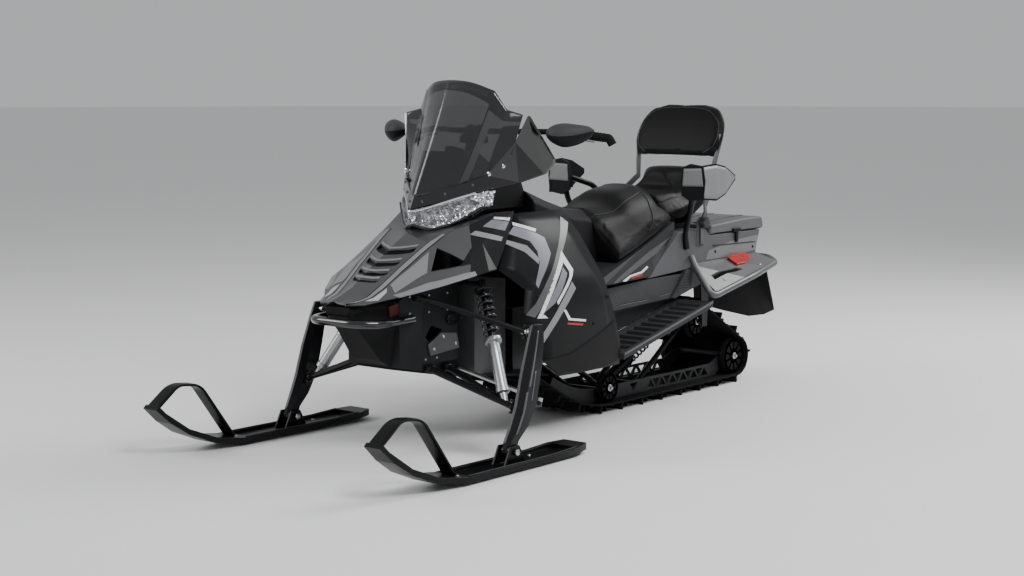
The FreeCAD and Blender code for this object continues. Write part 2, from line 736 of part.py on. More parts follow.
whole_hood = faceted([hood_ring(station[0], hood_gauge) for station in HOOD])
hood = whole_hood
LOUVRES = [(1052.0, 60.0, 9.0), (1020.0, 68.0, 13.0), (975.0, 78.0, 18.0), (915.0, 90.0, 24.0)]
for apex, wing, wide in LOUVRES:
    sweep = wing * 0.62
    chevron = [(apex, 0), (apex - sweep, wing), (apex - sweep - wide, wing), (apex - wide, 0),
               (apex - sweep - wide, -wing), (apex - sweep, -wing)]
    hood = hood.cut(slab(chevron, "XY", 560, 800))
INTAKE = [(806, 746), (764, 692), (893, 668)]
for low, high in ((120, 330), (-330, -120)):
    hood = hood.cut(slab(INTAKE, "XZ", low, high))
hood = hood.cut(box((400, -162, 700), (602, 162, 960)))
shape_part("hood", hood)

# Louvre panel that closes the slots from below
panel_rings = [hood_ring(x, 8.0, hood_gauge) for x in (1072.0, 1035.0, 920.0, 850.0)]
louvre_panel = faceted(panel_rings).common(box((840, -96, 500), (1080, 96, 900))).cut(whole_hood)
louvre_panel = max(louvre_panel.Solids, key=lambda solid: solid.Volume)
shape_part("hood_louvres", louvre_panel)

# Bulkhead: front frame that carries the arms, the shocks' cross tube and the hood's posts
bulkhead = new_body("plain_bulkhead")
BULKHEAD_SIDE = [(705.0, 330.0), (790.0, 330.0), (790.0, tray_top(790)), (905.0, tray_top(905)),
                 (nose_rear, tray_top(nose_rear)), (nose_rear, 566.0), (925.0, 606.0), (705.0, 640.0),
                 (650.3, 634.0), (650.3, 612.0), (705.0, 612.0)]
pad(bulkhead, outline(bulkhead, "XZ_Plane", BULKHEAD_SIDE), 330, symmetric=True)
BULKHEAD_PLAN = [(640, 165), (900, 165), (930, 150), (nose_rear, 126)]
frame_plan = slab(BULKHEAD_PLAN + [(x, -y) for x, y in BULKHEAD_PLAN[::-1]], "XY", 200, 700)
shock_top = Vector(668, 252, 609)
cross = rod((shock_top.x, -262, shock_top.z), (shock_top.x, 262, shock_top.z), 9)
posts = []
for x, y, target in ((880, 60, louvre_panel), (880, -60, louvre_panel), (760, 60, hood), (760, -60, hood)):
    posts.append(reach(box((x, y - 9, 600), (x + 14, y + 9, 900)), target, (x, y, 600)))
window = slab([(850, 470), (880, 430), (846, 392), (800, 410), (790, 450)], "XZ", -200, 200)
rake = math.radians(cell("steer_rake"))
post_axis = Vector(-math.sin(rake), 0, math.cos(rake))
BAR_MID = Vector(410, 0, 1150)
post_low = BAR_MID - post_axis * 563
post_pin = rod(post_low - post_axis * 26, post_low, 8)
pin_room = rod(post_low - post_axis * 60, post_low, 8.3)
bulkhead_shape = fused([bulkhead.Shape.common(frame_plan).cut(window), cross] + posts).cut(pin_room)
shape_part("bulkhead", bulkhead_shape)

# Side panels: one thin strip of plan curve at each height, tied to the tunnel by a rib
SIDE = [
    (245.0, (370, 372), (250, 385), (110, 385), (-10, 378)),
    (323.0, (492, 392), (350, 402), (150, 404), (5, 396)),
    (390.0, (511, 398), (370, 408), (190, 408), (30, 400)),
    (500.0, (612, 398), (430, 412), (200, 412), (75, 400)),
    (590.0, (575, 378), (420, 400), (240, 402), (100, 384)),
    (664.0, (655, 318), (480, 372), (300, 372), (125, 352)),
    (770.0, (572, 284), (470, 322), (350, 325), (165, 310)),
    (856.0, (490, 250), (430, 262), (340, 262), (200, 250)),
]
side_rings = [strip(points[::-1], height, -cell("panel_gauge")) for height, *points in SIDE]
side = faceted(side_rings).cut(hood)
rib = reach(box((296, cell("tunnel_half"), 300), (306, 460, 340)), side, (300, 212, 320))
side_left = shape_part("left_side_panel", fused([side, rib]))
mirrored("right_side_panel", side_left)

# Headlamp under the cowl: a lens skin and its hollow housing
LAMP = [
    ((770, 0, 822), (775, 0, 872)),
    ((733, 60, 806), (722, 60, 890)),
    ((672, 130, 832), (655, 130, 915)),
    ((608, 200, 886), (590, 200, 940)),
]
lens_gauge = 5.0
housing_deep = 58.0
lens = folded_sheet(both_ways(LAMP), (-lens_gauge, 0, 0))
shape_part("headlamp_lens", lens)
housing_lines = [tuple((x - lens_gauge, y, z) for x, y, z in line) for line in LAMP]
room_lines = []
for (x0, y0, z0), (x1, y1, z1) in LAMP:
    y = min(y0, 190)
    room_lines.append(((x0 + 1, y, z0 + 9), (x1 + 1, y, z1 - 9)))
housing = folded_sheet(both_ways(housing_lines), (-housing_deep, 0, 0))
housing = housing.cut(folded_sheet(both_ways(room_lines), (-housing_deep, 0, 0))).cut(lens).cut(hood)
housing = max(housing.Solids, key=lambda solid: solid.Volume)
shape_part("headlamp_housing", housing)

# Cowl below the windshield, with its two wings
COWL = [
    ((778, 0, 876), (754, 0, 925)),
    ((724, 62, 895), (708, 62, 943)),
    ((668, 122, 916), (655, 122, 962)),
    ((592, 200, 944), (578, 200, 1000)),
    ((480, 270, 968), (500, 270, 1120)),
    ((372, 305, 997), (470, 305, 1215)),
    ((340, 322, 1035), (344, 326, 1052)),
]
cowl = folded_sheet(both_ways(COWL), (-16, 0, 0))
shape_part("windshield_cowl", cowl)

# Windshield: a thin clear sheet with a crease each side of the middle
SHIELD = [
    ((749, 0, 925.0), (660, 0, 1104), (539, 0, 1342)),
    ((700, 60, 942.5), (622, 74, 1110), (528, 90, 1334)),
    ((645, 116, 960.4), (572, 140, 1110), (490, 166, 1304)),
    ((577, 180, 991.0), (530, 196, 1110), (472, 212, 1234)),
    ((496, 262, 1107.5), (486, 272, 1140), (468, 286, 1220)),
]
shape_part("windshield", folded_sheet(both_ways(SHIELD), (-4.0, 0, 0)))

# Handlebar on its raked post
bar_radius = cell("tube_radius")
post_turn = rod(post_low - post_axis * 20, BAR_MID, 24)
BAR = [(190, -470, 1128), (260, -300, 1150), (405, -110, 1152), (405, 110, 1152), (260, 300, 1150),
       (190, 470, 1128)]
handlebar = bent_tube(BAR, bar_radius, 40)
shape_part("handlebar", handlebar)
clamp = rod(BAR_MID + Vector(-5, -34, 2), BAR_MID + Vector(-5, 34, 2), 21)
shape_part("steering_post", fused([rod(post_low, BAR_MID, 16), post_pin, clamp]).cut(handlebar))
bar_elbow, bar_end = Vector(*BAR[4]), Vector(*BAR[5])
grip_start = bar_elbow + (bar_end - bar_elbow) * 0.3
grip = bent_tube([grip_start, bar_end, bar_end + Vector(-6, 12, -24)], cell("grip_radius"), 20)
POD = [
    (346.0, 404.0, 1150.0, 16.0, 18.0),
    (372.0, 410.0, 1148.0, 34.0, 44.0),
    (420.0, 398.0, 1142.0, 42.0, 57.0),
    (466.0, 372.0, 1146.0, 36.0, 48.0),
    (505.0, 340.0, 1158.0, 16.0, 20.0),
]
pod_rings = []
for y, x, z, deep, tall in POD:
    pod_rings.append([(x + deep * 0.55, y, z), (x + deep * 0.2, y, z + tall * 0.7), (x - deep * 0.6, y, z + tall),
                      (x - deep, y, z + tall * 0.3), (x - deep, y, z - tall * 0.5), (x - deep * 0.1, y, z - tall)])
pod_arm = bar((228, 362, 1143), (388, 385, 1146), 8)
pods = both_sides(fused([faceted(pod_rings), pod_arm])).cut(handlebar)
shape_part("hand_pods", pods)
shape_part("bar_grips", both_sides(grip).cut(handlebar).cut(pods))

# Dash behind the shield, held to the lamp and the cowl by its brackets
DASH_SIDE = [(300, 866), (560, 866), (606, 880), (640, 960), (640, 1020), (622, 1083), (513, 1076), (440, 1010),
             (330, 990), (300, 930)]
DASH_FRONT = [(-150, 860), (150, 860), (150, 990), (100, 1085), (-100, 1085), (-150, 990)]
dash = slab(DASH_SIDE, "XZ", -200, 200).common(slab(DASH_FRONT, "YZ", 280, 700)).cut(post_turn)
clear = 18.0
for lines, deep in ((SHIELD, 4.0), (COWL, 16.0), (LAMP, housing_deep + 5.0)):
    shifted = [tuple((x - deep - clear, y, z) for x, y, z in line) for line in both_ways(lines)]
    dash = dash.cut(folded_sheet(shifted, (420, 0, 0)))
dash = max(dash.Solids, key=lambda solid: solid.Volume)
stubs = [reach(box((560, y - 14, 868), (760, y + 14, 880)), housing, (560, y, 874)) for y in (-66, 66)]
stubs.append(reach(box((560, -30, 906), (790, 30, 918)), cowl, (560, 0, 910)))
shape_part("dash", fused([dash] + stubs).cut(post_turn))

# Console that runs back from the dash to the seat
CONSOLE = [(300.0, 200.0, 930.0), (150.0, 190.0, 880.0), (0.0, 165.0, 842.0), (-165.0, 130.0, 824.0)]
console_rings = []
for x, half, top in CONSOLE:
    console_rings.append([(x, -half - 30, base_top(x)), (x, half + 30, base_top(x)), (x, half, top - 40),
                          (x, half - 50, top), (x, 50 - half, top), (x, -half, top - 40)])
shape_part("console", faceted(console_rings))


def cushion(label, stations, floor):
    """Closed seat form on a floor line: each station has its bottom half width, then rising (half, z) points."""
    rings = []
    for x, low_half, *rising in stations:
        right = [(x, low_half, floor(x))] + [(x, y, z) for y, z in rising]
        rings.append(right + [(x, -y, z) for _, y, z in right[::-1]])
    return shape_part(label, faceted(rings))


# Passenger's pan over the trunk's front, and the two cushions
PAN_TOP = [(-614.0, 754.0), (-745.0, 790.0), (-1038.0, 868.0)]


def pan_top(x):
    """Height of the passenger pan's top at a station."""
    (x0, z0), (x1, z1) = PAN_TOP[:2] if x > PAN_TOP[1][0] else PAN_TOP[1:]
    return z0 + (z1 - z0) * (x - x0) / (x1 - x0)


PAN_SIDE = PAN_TOP + [(-1034, 852), (-815, 737), (-800, 711), (-614, 711)]
shape_part("passenger_pan", slab(PAN_SIDE, "XZ", -150, 150))
cushion("rider_seat", [
    (-165.3, 262.0, (176, 752), (112, 799), (46, 822)),
    (-255.0, 256.0, (170, 768), (112, 804), (50, 826)),
    (-323.0, 250.0, (172, 780), (114, 814), (55, 838)),
    (-390.0, 244.0, (172, 802), (114, 851), (55, 877)),
    (-470.0, 236.0, (170, 820), (114, 868), (55, 892)),
    (-560.0, 222.0, (165, 828), (112, 874), (55, 899)),
    (-610.0, 205.0, (155, 820), (105, 862), (50, 886)),
], base_top)
cushion("passenger_seat", [
    (-614.0, 165.0, (150, 822), (120, 858), (60, 868)),
    (-700.0, 178.0, (160, 836), (136, 864), (70, 869)),
    (-745.0, 180.0, (162, 842), (138, 866), (70, 871)),
    (-785.0, 180.0, (162, 848), (128, 872), (60, 884)),
    (-800.0, 180.0, (162, 852), (92, 890), (42, 950)),
    (-870.0, 180.0, (164, 864), (118, 910), (84, 958)),
    (-950.0, 174.0, (164, 872), (140, 925), (100, 958)),
    (-1038.0, 158.0, (148, 884), (134, 920), (96, 944)),
], pan_top)

# Rear frame: a tube round the back with its struts, the slanted side plates and the lamps
bumper_radius = 14.0
strut_y = cell("trunk_half") + bumper_radius + 0.2
RAIL = [(-676, strut_y, 606), (-668, strut_y + 20, 574), (-656, 386, 446), (-996, 386, 512), (-1250, 330, 540),
        (-1335, 235, 552)]
loop_path = RAIL + [(x, -y, z) for x, y, z in RAIL[::-1]]
rear_bumper = bent_tube(loop_path, bumper_radius, 34)
shape_part("rear_bumper", rear_bumper)
trunk_half = cell("trunk_half")
PLATE = [
    ((-684, 386, 466), (-694, trunk_half, 570)),
    ((-900, 386, 508), (-900, trunk_half, 575)),
    ((-1100, 363, 538), (-1110, trunk_half, 578)),
    ((-1232, 334, 552), (-1206, trunk_half, 584)),
]
recess = slab([(-740, 344), (-962, 344), (-940, 322), (-740, 322)], "XY", 400, 640)
plate_room = bent_tube(loop_path, bumper_radius + 0.3, 34)
plate = folded_sheet(PLATE, (0, 0, -5)).cut(recess).cut(plate_room)
plate = max(plate.Solids, key=lambda solid: solid.Volume)
shape_part("rear_side_plates", both_sides(plate))
lamp_block = faceted([
    [(-950, 318, 535), (-950, 268, 562), (-950, 268, 584), (-950, 318, 557)],
    [(-1016, 322, 537), (-1016, 262, 570), (-1016, 262, 592), (-1016, 322, 559)],
    [(-1096, 292, 556), (-1104, 264, 570), (-1104, 264, 592), (-1096, 292, 578)],
])
lamp_left = max(lamp_block.cut(plate).cut(trunk).Solids, key=lambda solid: solid.CenterOfMass.z)
shape_part("tail_lamps", both_sides(lamp_left))

# Snow flap: a flange under the tunnel's end, and the flap that hangs from it
FLAP = [
    ((-1112, 150, 560), (-1385, 200, 478), (-1430, 215, 300)),
    ((-1112, 110, 560), (-1392, 110, 474), (-1520, 110, 262)),
    ((-1112, 0, 560), (-1394, 0, 472), (-1564, 0, 240)),
]
flap_lines = FLAP + [tuple((x, -y, z) for x, y, z in line) for line in FLAP[1::-1]]
flap = folded_sheet(flap_lines, (-6, 0, 5))
tunnel_roof = tunnel_top(-1114) - gauge
tabs = [box((-1128, y, 556), (-1114, y + 30, tunnel_roof - 0.2)) for y in (-120, 90)]
shape_part("snow_flap", fused([flap] + tabs))

# Passenger's grab bars, and the guards that they carry
bar_radius_rear = 12.0
GRAB = [(-645, 264.2, 640), (-632, 264.2, 700), (-589, 325, 840), (-589, 322, 925), (-712, 262, 880),
        (-728, 225, 790), (-738, 195, 752), (-740, 150.2, 745)]
grab = bent_tube(GRAB, bar_radius_rear, 30)
grab = grab.cut(slab(PAN_SIDE, "XZ", -150, 150))
shape_part("grab_bars", both_sides(grab))
GUARD_FRONT = [(290, 868), (328, 846), (396, 856), (404, 930), (392, 990), (330, 998), (296, 985), (284, 930)]
GUARD_SIDE = [
    ((-562, 398, 854), (-562, 393, 992)),
    ((-650, 404, 846), (-650, 400, 998)),
    ((-720, 402, 868), (-720, 400, 985)),
    ((-804, 396, 925), (-804, 396, 945)),
]
guard = fused([slab(GUARD_FRONT, "YZ", -576, -564), folded_sheet(GUARD_SIDE, (0, -8, 0)),
               box((-606, 300, 876), (-570, 346, 906))])
shape_part("passenger_guards", both_sides(guard.cut(grab)))

# Backrest: two flat posts on star-knob pivots, and the pad between them
POST = [(-760, 262, 652), (PIVOT[0], 262, PIVOT[1]), (-788, 262, 782), (-815, 240, 812), (-949, 198, 917), (-949, 198, 981),
        (-978, 214, 1103)]
post_half_width, post_half_gauge = 13.0, 4.0
post_rings = []
for index, (x, y, z) in enumerate(POST):
    before, after = POST[max(index - 1, 0)], POST[min(index + 1, len(POST) - 1)]
    run = Vector(after[0] - before[0], 0, after[2] - before[2]).normalize()
    side_x, side_z = run.z * post_half_width, -run.x * post_half_width
    post_rings.append([(x + side_x, y - post_half_gauge, z + side_z), (x + side_x, y + post_half_gauge, z + side_z),
                       (x - side_x, y + post_half_gauge, z - side_z), (x - side_x, y - post_half_gauge, z - side_z)])
star = []
for step in range(12):
    size = 25.0 if step % 2 == 0 else 19.0
    star.append((PIVOT[0] + size * math.cos(math.pi * step / 6), PIVOT[1] + size * math.sin(math.pi * step / 6)))
knob = slab(star, "XZ", 266, 286)
boss_disc = rod((PIVOT[0], 258.2, PIVOT[1]), (PIVOT[0], 268, PIVOT[1]), 17)
backrest_post = fused([faceted(post_rings), knob, boss_disc])
shape_part("backrest_frame", both_sides(backrest_post))
PAD = [(1008.0, -924.0, 208.0, 150.0), (1050.0, -938.0, 224.0, 170.0), (1100.0, -955.0, 230.0, 175.0),
       (1160.0, -980.0, 218.0, 160.0), (1208.0, -1006.0, 176.0, 130.0), (1231.0, -1023.0, 100.0, 70.0)]
pad_deep = 52.0
pad_rings = []
for z, face, wide, flat in PAD:
    front = [(face - pad_deep, wide - 34, z), (face - 20, wide, z), (face - 6, (wide + flat) / 2, z), (face, flat, z)]
    pad_rings.append(front + [(x, -y, z) for x, y, z in front[::-1]])
backrest_pad = faceted(pad_rings).cut(both_sides(backrest_post))
shape_part("backrest_pad", backrest_pad)

# Front suspension: arms with their sleeves and ball cups
BALL_TOP = Vector(722, 497, 462)
BALL_LOW = Vector(800, 503, 205)
kingpin = (BALL_TOP - BALL_LOW).normalize()
stud_radius = 6.0
stud_gap = 0.3
sleeve_y = 165 + 14.2


def stud_room(shape, place):
    """An arm with the room for the stud taken out."""
    return shape.cut(rod(place - kingpin * 40, place + kingpin * 40, stud_radius + stud_gap))


upper = fused([bar((937, sleeve_y, 584), BALL_TOP, 10), bar((917, sleeve_y, 584), (957, sleeve_y, 584), 14),
               ball_end(BALL_TOP, 13, kingpin)])
shape_part("upper_arms", both_sides(stud_room(upper, BALL_TOP)))
lower = fused([bar((870, sleeve_y, 316), BALL_LOW, 13), bar((778, sleeve_y, 312), BALL_LOW, 11),
               bar((850, sleeve_y, 316), (890, sleeve_y, 316), 14),
               bar((762, sleeve_y, 312), (800, sleeve_y, 312), 14), ball_end(BALL_LOW, 15, kingpin)])
lower = stud_room(lower, BALL_LOW)
shape_part("lower_arms", both_sides(lower))

# Coil springs on their dampers
shock_low = Vector(797, 462, 226)
run = shock_low - shock_top
shock = fused([bar(shock_top, shock_top + run * 0.5, 13), bar(shock_top + run * 0.5, shock_low, 22),
               bar(shock_top + run * 0.04, shock_top + run * 0.06, 34, 16),
               bar(shock_top + run * 0.5, shock_top + run * 0.53, 34, 16)])
shape_part("front_shocks", both_sides(shock.cut(lower).cut(cross)))


def coil(start, end, radius, wire, turns, steps=10):
    """Spring of a wire wound round a line."""
    axis = (end - start).normalize()
    across = axis.cross(Vector(1, 0, 0)).normalize()
    upright = axis.cross(across)
    path = []
    for step in range(turns * steps + 1):
        swing = 2 * math.pi * step / steps
        centre = start + (end - start) * (step / (turns * steps))
        path.append(centre + across * (radius * math.cos(swing)) + upright * (radius * math.sin(swing)))
    return tube_along(path, wire, 6)


spring = coil(shock_top + run * 0.085, shock_top + run * 0.475, 27, 4.5, 6)
shape_part("front_springs", both_sides(spring))

# Spindles turn on the line through their two ball joints
stance = cell("ski_stance") / 2
bolt_x, bolt_z = cell("ski_bolt_x"), cell("ski_bolt_z")
ARM_BALL = Vector(697, 538, 222)
LEG = [(712, 536, 490, 24, 14), (726, 538, 430, 36, 17), (756, 541, 330, 44, 20), (790, 543, 215, 46, 22),
       (830, 542, 140, 40, 20), (864, 540, 96, 30, 17), (bolt_x, 540, 66, 24, 17)]
leg_rings = []
for x, y, z, long_half, wide_half in LEG:
    leg_rings.append([(x - long_half, y - wide_half, z), (x + long_half * 0.4, y - wide_half, z),
                      (x + long_half, y - wide_half * 0.3, z), (x + long_half, y + wide_half * 0.3, z),
                      (x + long_half * 0.4, y + wide_half, z), (x - long_half, y + wide_half, z)])
boss_half = 17.0
boss_radius = 22.0
boss = rod((bolt_x, stance - boss_half, bolt_z), (bolt_x, stance + boss_half, bolt_z), boss_radius)
knuckle = [faceted(leg_rings), boss]
lug_gauge = 8.0
for place, lift, toward in ((BALL_TOP, 17.0, Vector(722, 536, 455)), (BALL_LOW, 18.0, Vector(796, 540, 205))):
    stud_reach = kingpin * (lift + lug_gauge)
    knuckle.append(rod(place - stud_reach, place + stud_reach, stud_radius))
    for sign in (-1, 1):
        knuckle.append(bar(place + kingpin * (sign * lift), place + stud_reach * sign, 12))
        middle = kingpin * (sign * (lift + lug_gauge / 2))
        knuckle.append(bar(place + middle, toward + middle, lug_gauge / 2, 6))
knuckle.append(bar(Vector(762, 542, 210), ARM_BALL - kingpin * 17, 7))
knuckle.append(bar(ARM_BALL - kingpin * 24, ARM_BALL - kingpin * 10, 13))
knuckle.append(rod(ARM_BALL - kingpin * 24, ARM_BALL + kingpin * 9, 5))
pin_radius = 8.0
running_gap = 0.1
bore = rod((bolt_x, stance - 60, bolt_z), (bolt_x, stance + 60, bolt_z), pin_radius + running_gap)
spindle_left = shape_part("left_spindle", fused(knuckle).cut(bore))
mirrored("right_spindle", spindle_left)
eye = bar(ARM_BALL - kingpin * 8.5, ARM_BALL + kingpin * 6.5, 14)
tie = fused([eye, bar(ARM_BALL + Vector(0, -8, 1), (700, 165, 299), 8)])
tie = tie.cut(rod(ARM_BALL - kingpin * 30, ARM_BALL + kingpin * 30, 5 + stud_gap))
tie_left = shape_part("left_tie_rod", tie)
mirrored("right_tie_rod", tie_left)

# Skis: a blade with a trough and a narrowing tip, its two ears and its bolt
ski = new_body("ski_blade")
SKI_TOP = [("ski_tail_x", 40), (700, 30), (1180, 32), (1300, 50), (1420, 98), (1520, 168), (1548, 196)]
SKI_LOW = [(1562, 184), (1500, 128), (1420, 76), (1300, 28), (1180, 10), (700, 10), ("ski_tail_x", 14)]
pad(ski, outline(ski, "XZ_Plane", SKI_TOP + SKI_LOW, -stance), "Dims.ski_width * 1mm", symmetric=True)
half_ski = cell("ski_width") / 2
trough_half = half_ski - 20
pocket(ski, outline(ski, "XY_Plane", [(560, stance - trough_half), (1150, stance - trough_half),
                                      (1150, stance + trough_half), (560, stance + trough_half)], 20.0),
       60, reverse=True)
for sign in (-1, 1):
    edge_y = stance + sign * half_ski
    tip_y = stance + sign * 34
    corner = [(1170, edge_y), (1580, tip_y), (1580, edge_y + sign * 20), (1170, edge_y + sign * 20)]
    pocket(ski, outline(ski, "XY_Plane", corner, 300.0), 0, through=True)
    corner = [(480, stance + sign * 50), (560, edge_y), (560, edge_y + sign * 20), (480, edge_y + sign * 20)]
    pocket(ski, outline(ski, "XY_Plane", corner, 300.0), 0, through=True)
EAR = [(812, 18), (928, 18), (894, 84), (846, 84)]
ear_gap = boss_half + 5.5
ears = [slab(EAR, "XZ", stance + ear_gap, stance + ear_gap + 8), slab(EAR, "XZ", stance - ear_gap - 8, stance - ear_gap)]
pin = rod((bolt_x, stance - ear_gap - 14, bolt_z), (bolt_x, stance + ear_gap + 14, bolt_z), pin_radius)
ski_left = shape_part("left_ski", fused([ski.Shape] + ears + [pin]))
mirrored("right_ski", ski_left)
STRAP = [(1534, 172), (1570, 186), (1566, 204), (1452, 270), (1338, 258), (1172, 40), (1200, 40), (1352, 238),
         (1442, 248), (1524, 194)]
strap = slab(STRAP, "XZ", stance - 30, stance + 30).cut(ski.Shape)
strap = max(strap.Solids, key=lambda solid: solid.Volume)
loop_left = shape_part("left_ski_loop", strap)
mirrored("right_ski_loop", loop_left)
RUNNER = [(690, 10), (1190, 10), (1180, 0), (720, 0)]
runner_left = shape_part("left_ski_runner", slab(RUNNER, "XZ", stance - 5, stance + 5))
mirrored("right_ski_runner", runner_left)

# Bumper tube at the nose
front_radius = 15.0
NOSE_TUBE = [(930.5, 151, 500), (1100, 160, 498), (1176, 100, 502)]
front_loop = bent_tube(NOSE_TUBE + [(x, -y, z) for x, y, z in NOSE_TUBE[::-1]], front_radius, 34)
front_middle = rod((1176, -70, 502), (1176, 70, 502), front_radius)
front_bumper = fused([front_loop, front_middle]).cut(bulkhead_shape).cut(faceted(nose_rings))
shape_part("front_bumper", max(front_bumper.Solids, key=lambda solid: solid.Volume))

doc.recompute()
for made in doc.Objects:
    if "Invalid" in made.State or "Error" in made.State:
        raise ValueError(f"{made.Label}: {made.State}")
os.makedirs("parts", exist_ok=True)
for made in PARTS:
    if made.Shape.isNull() or not made.Shape.isValid() or not made.Shape.Solids:
        raise ValueError(f"{made.Label}: the shape isn't valid")
    made.Shape.exportStep(f"parts/{made.Label}.step")
    box_of = made.Shape.BoundBox
    print(f"{made.Label:22s} {len(made.Shape.Solids)} solids {made.Shape.Volume / 1e6:8.2f} litres "
          f"X {box_of.XMin:6.0f} {box_of.XMax:6.0f} Y {box_of.YMin:5.0f} {box_of.YMax:5.0f} "
          f"Z {box_of.ZMin:5.0f} {box_of.ZMax:5.0f}")
print(len(PARTS), "parts")
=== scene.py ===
"""Looks of the two-up touring snowmobile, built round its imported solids.

Shapes are worked out in millimetres, in the row frame (+X forward, +Y left, +Z up), and become metres
when a piece is made.
"""
import json
import logging
import math
from collections.abc import Callable
from dataclasses import dataclass, field
from enum import Enum

import bmesh
import bpy
import numpy as np
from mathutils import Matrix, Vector

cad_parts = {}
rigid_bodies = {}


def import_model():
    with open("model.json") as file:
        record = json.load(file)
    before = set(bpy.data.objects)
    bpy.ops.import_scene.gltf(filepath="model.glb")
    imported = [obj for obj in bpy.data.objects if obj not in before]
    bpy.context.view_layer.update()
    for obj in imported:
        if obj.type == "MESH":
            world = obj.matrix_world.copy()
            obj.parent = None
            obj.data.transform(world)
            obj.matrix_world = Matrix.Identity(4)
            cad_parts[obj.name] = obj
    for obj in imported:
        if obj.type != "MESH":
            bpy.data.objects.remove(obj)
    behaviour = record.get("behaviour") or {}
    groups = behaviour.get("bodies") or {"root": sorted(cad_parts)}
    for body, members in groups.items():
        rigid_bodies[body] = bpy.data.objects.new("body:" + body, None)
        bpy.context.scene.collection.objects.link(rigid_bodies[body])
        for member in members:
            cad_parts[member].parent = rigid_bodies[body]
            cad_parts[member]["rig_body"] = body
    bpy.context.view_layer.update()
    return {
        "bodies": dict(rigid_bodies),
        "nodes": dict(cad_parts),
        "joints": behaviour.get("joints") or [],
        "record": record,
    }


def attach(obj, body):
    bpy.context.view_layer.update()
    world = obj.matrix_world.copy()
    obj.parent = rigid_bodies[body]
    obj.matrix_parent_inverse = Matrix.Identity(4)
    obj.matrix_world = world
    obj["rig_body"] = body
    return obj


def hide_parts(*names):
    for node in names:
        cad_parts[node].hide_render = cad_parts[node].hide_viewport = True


log = logging.getLogger("snowmobile")
Colour = tuple[float, float, float]
Point = tuple[float, float, float]
Flat = tuple[float, float]
MM = 0.001
PER_METRE = 1000.0


class Grain(Enum):
    """Small relief of a surface."""

    FINE = "fine"
    PEBBLE = "pebble"
    BRUSHED = "brushed"
    CAST = "cast"
    CRYSTAL = "crystal"


class Ray(Enum):
    """Direction in which trim is laid on a surface: axis number and the side it comes from."""

    LEFT = (1, 1.0)
    RIGHT = (1, -1.0)
    ABOVE = (2, 1.0)
    FRONT = (0, 1.0)


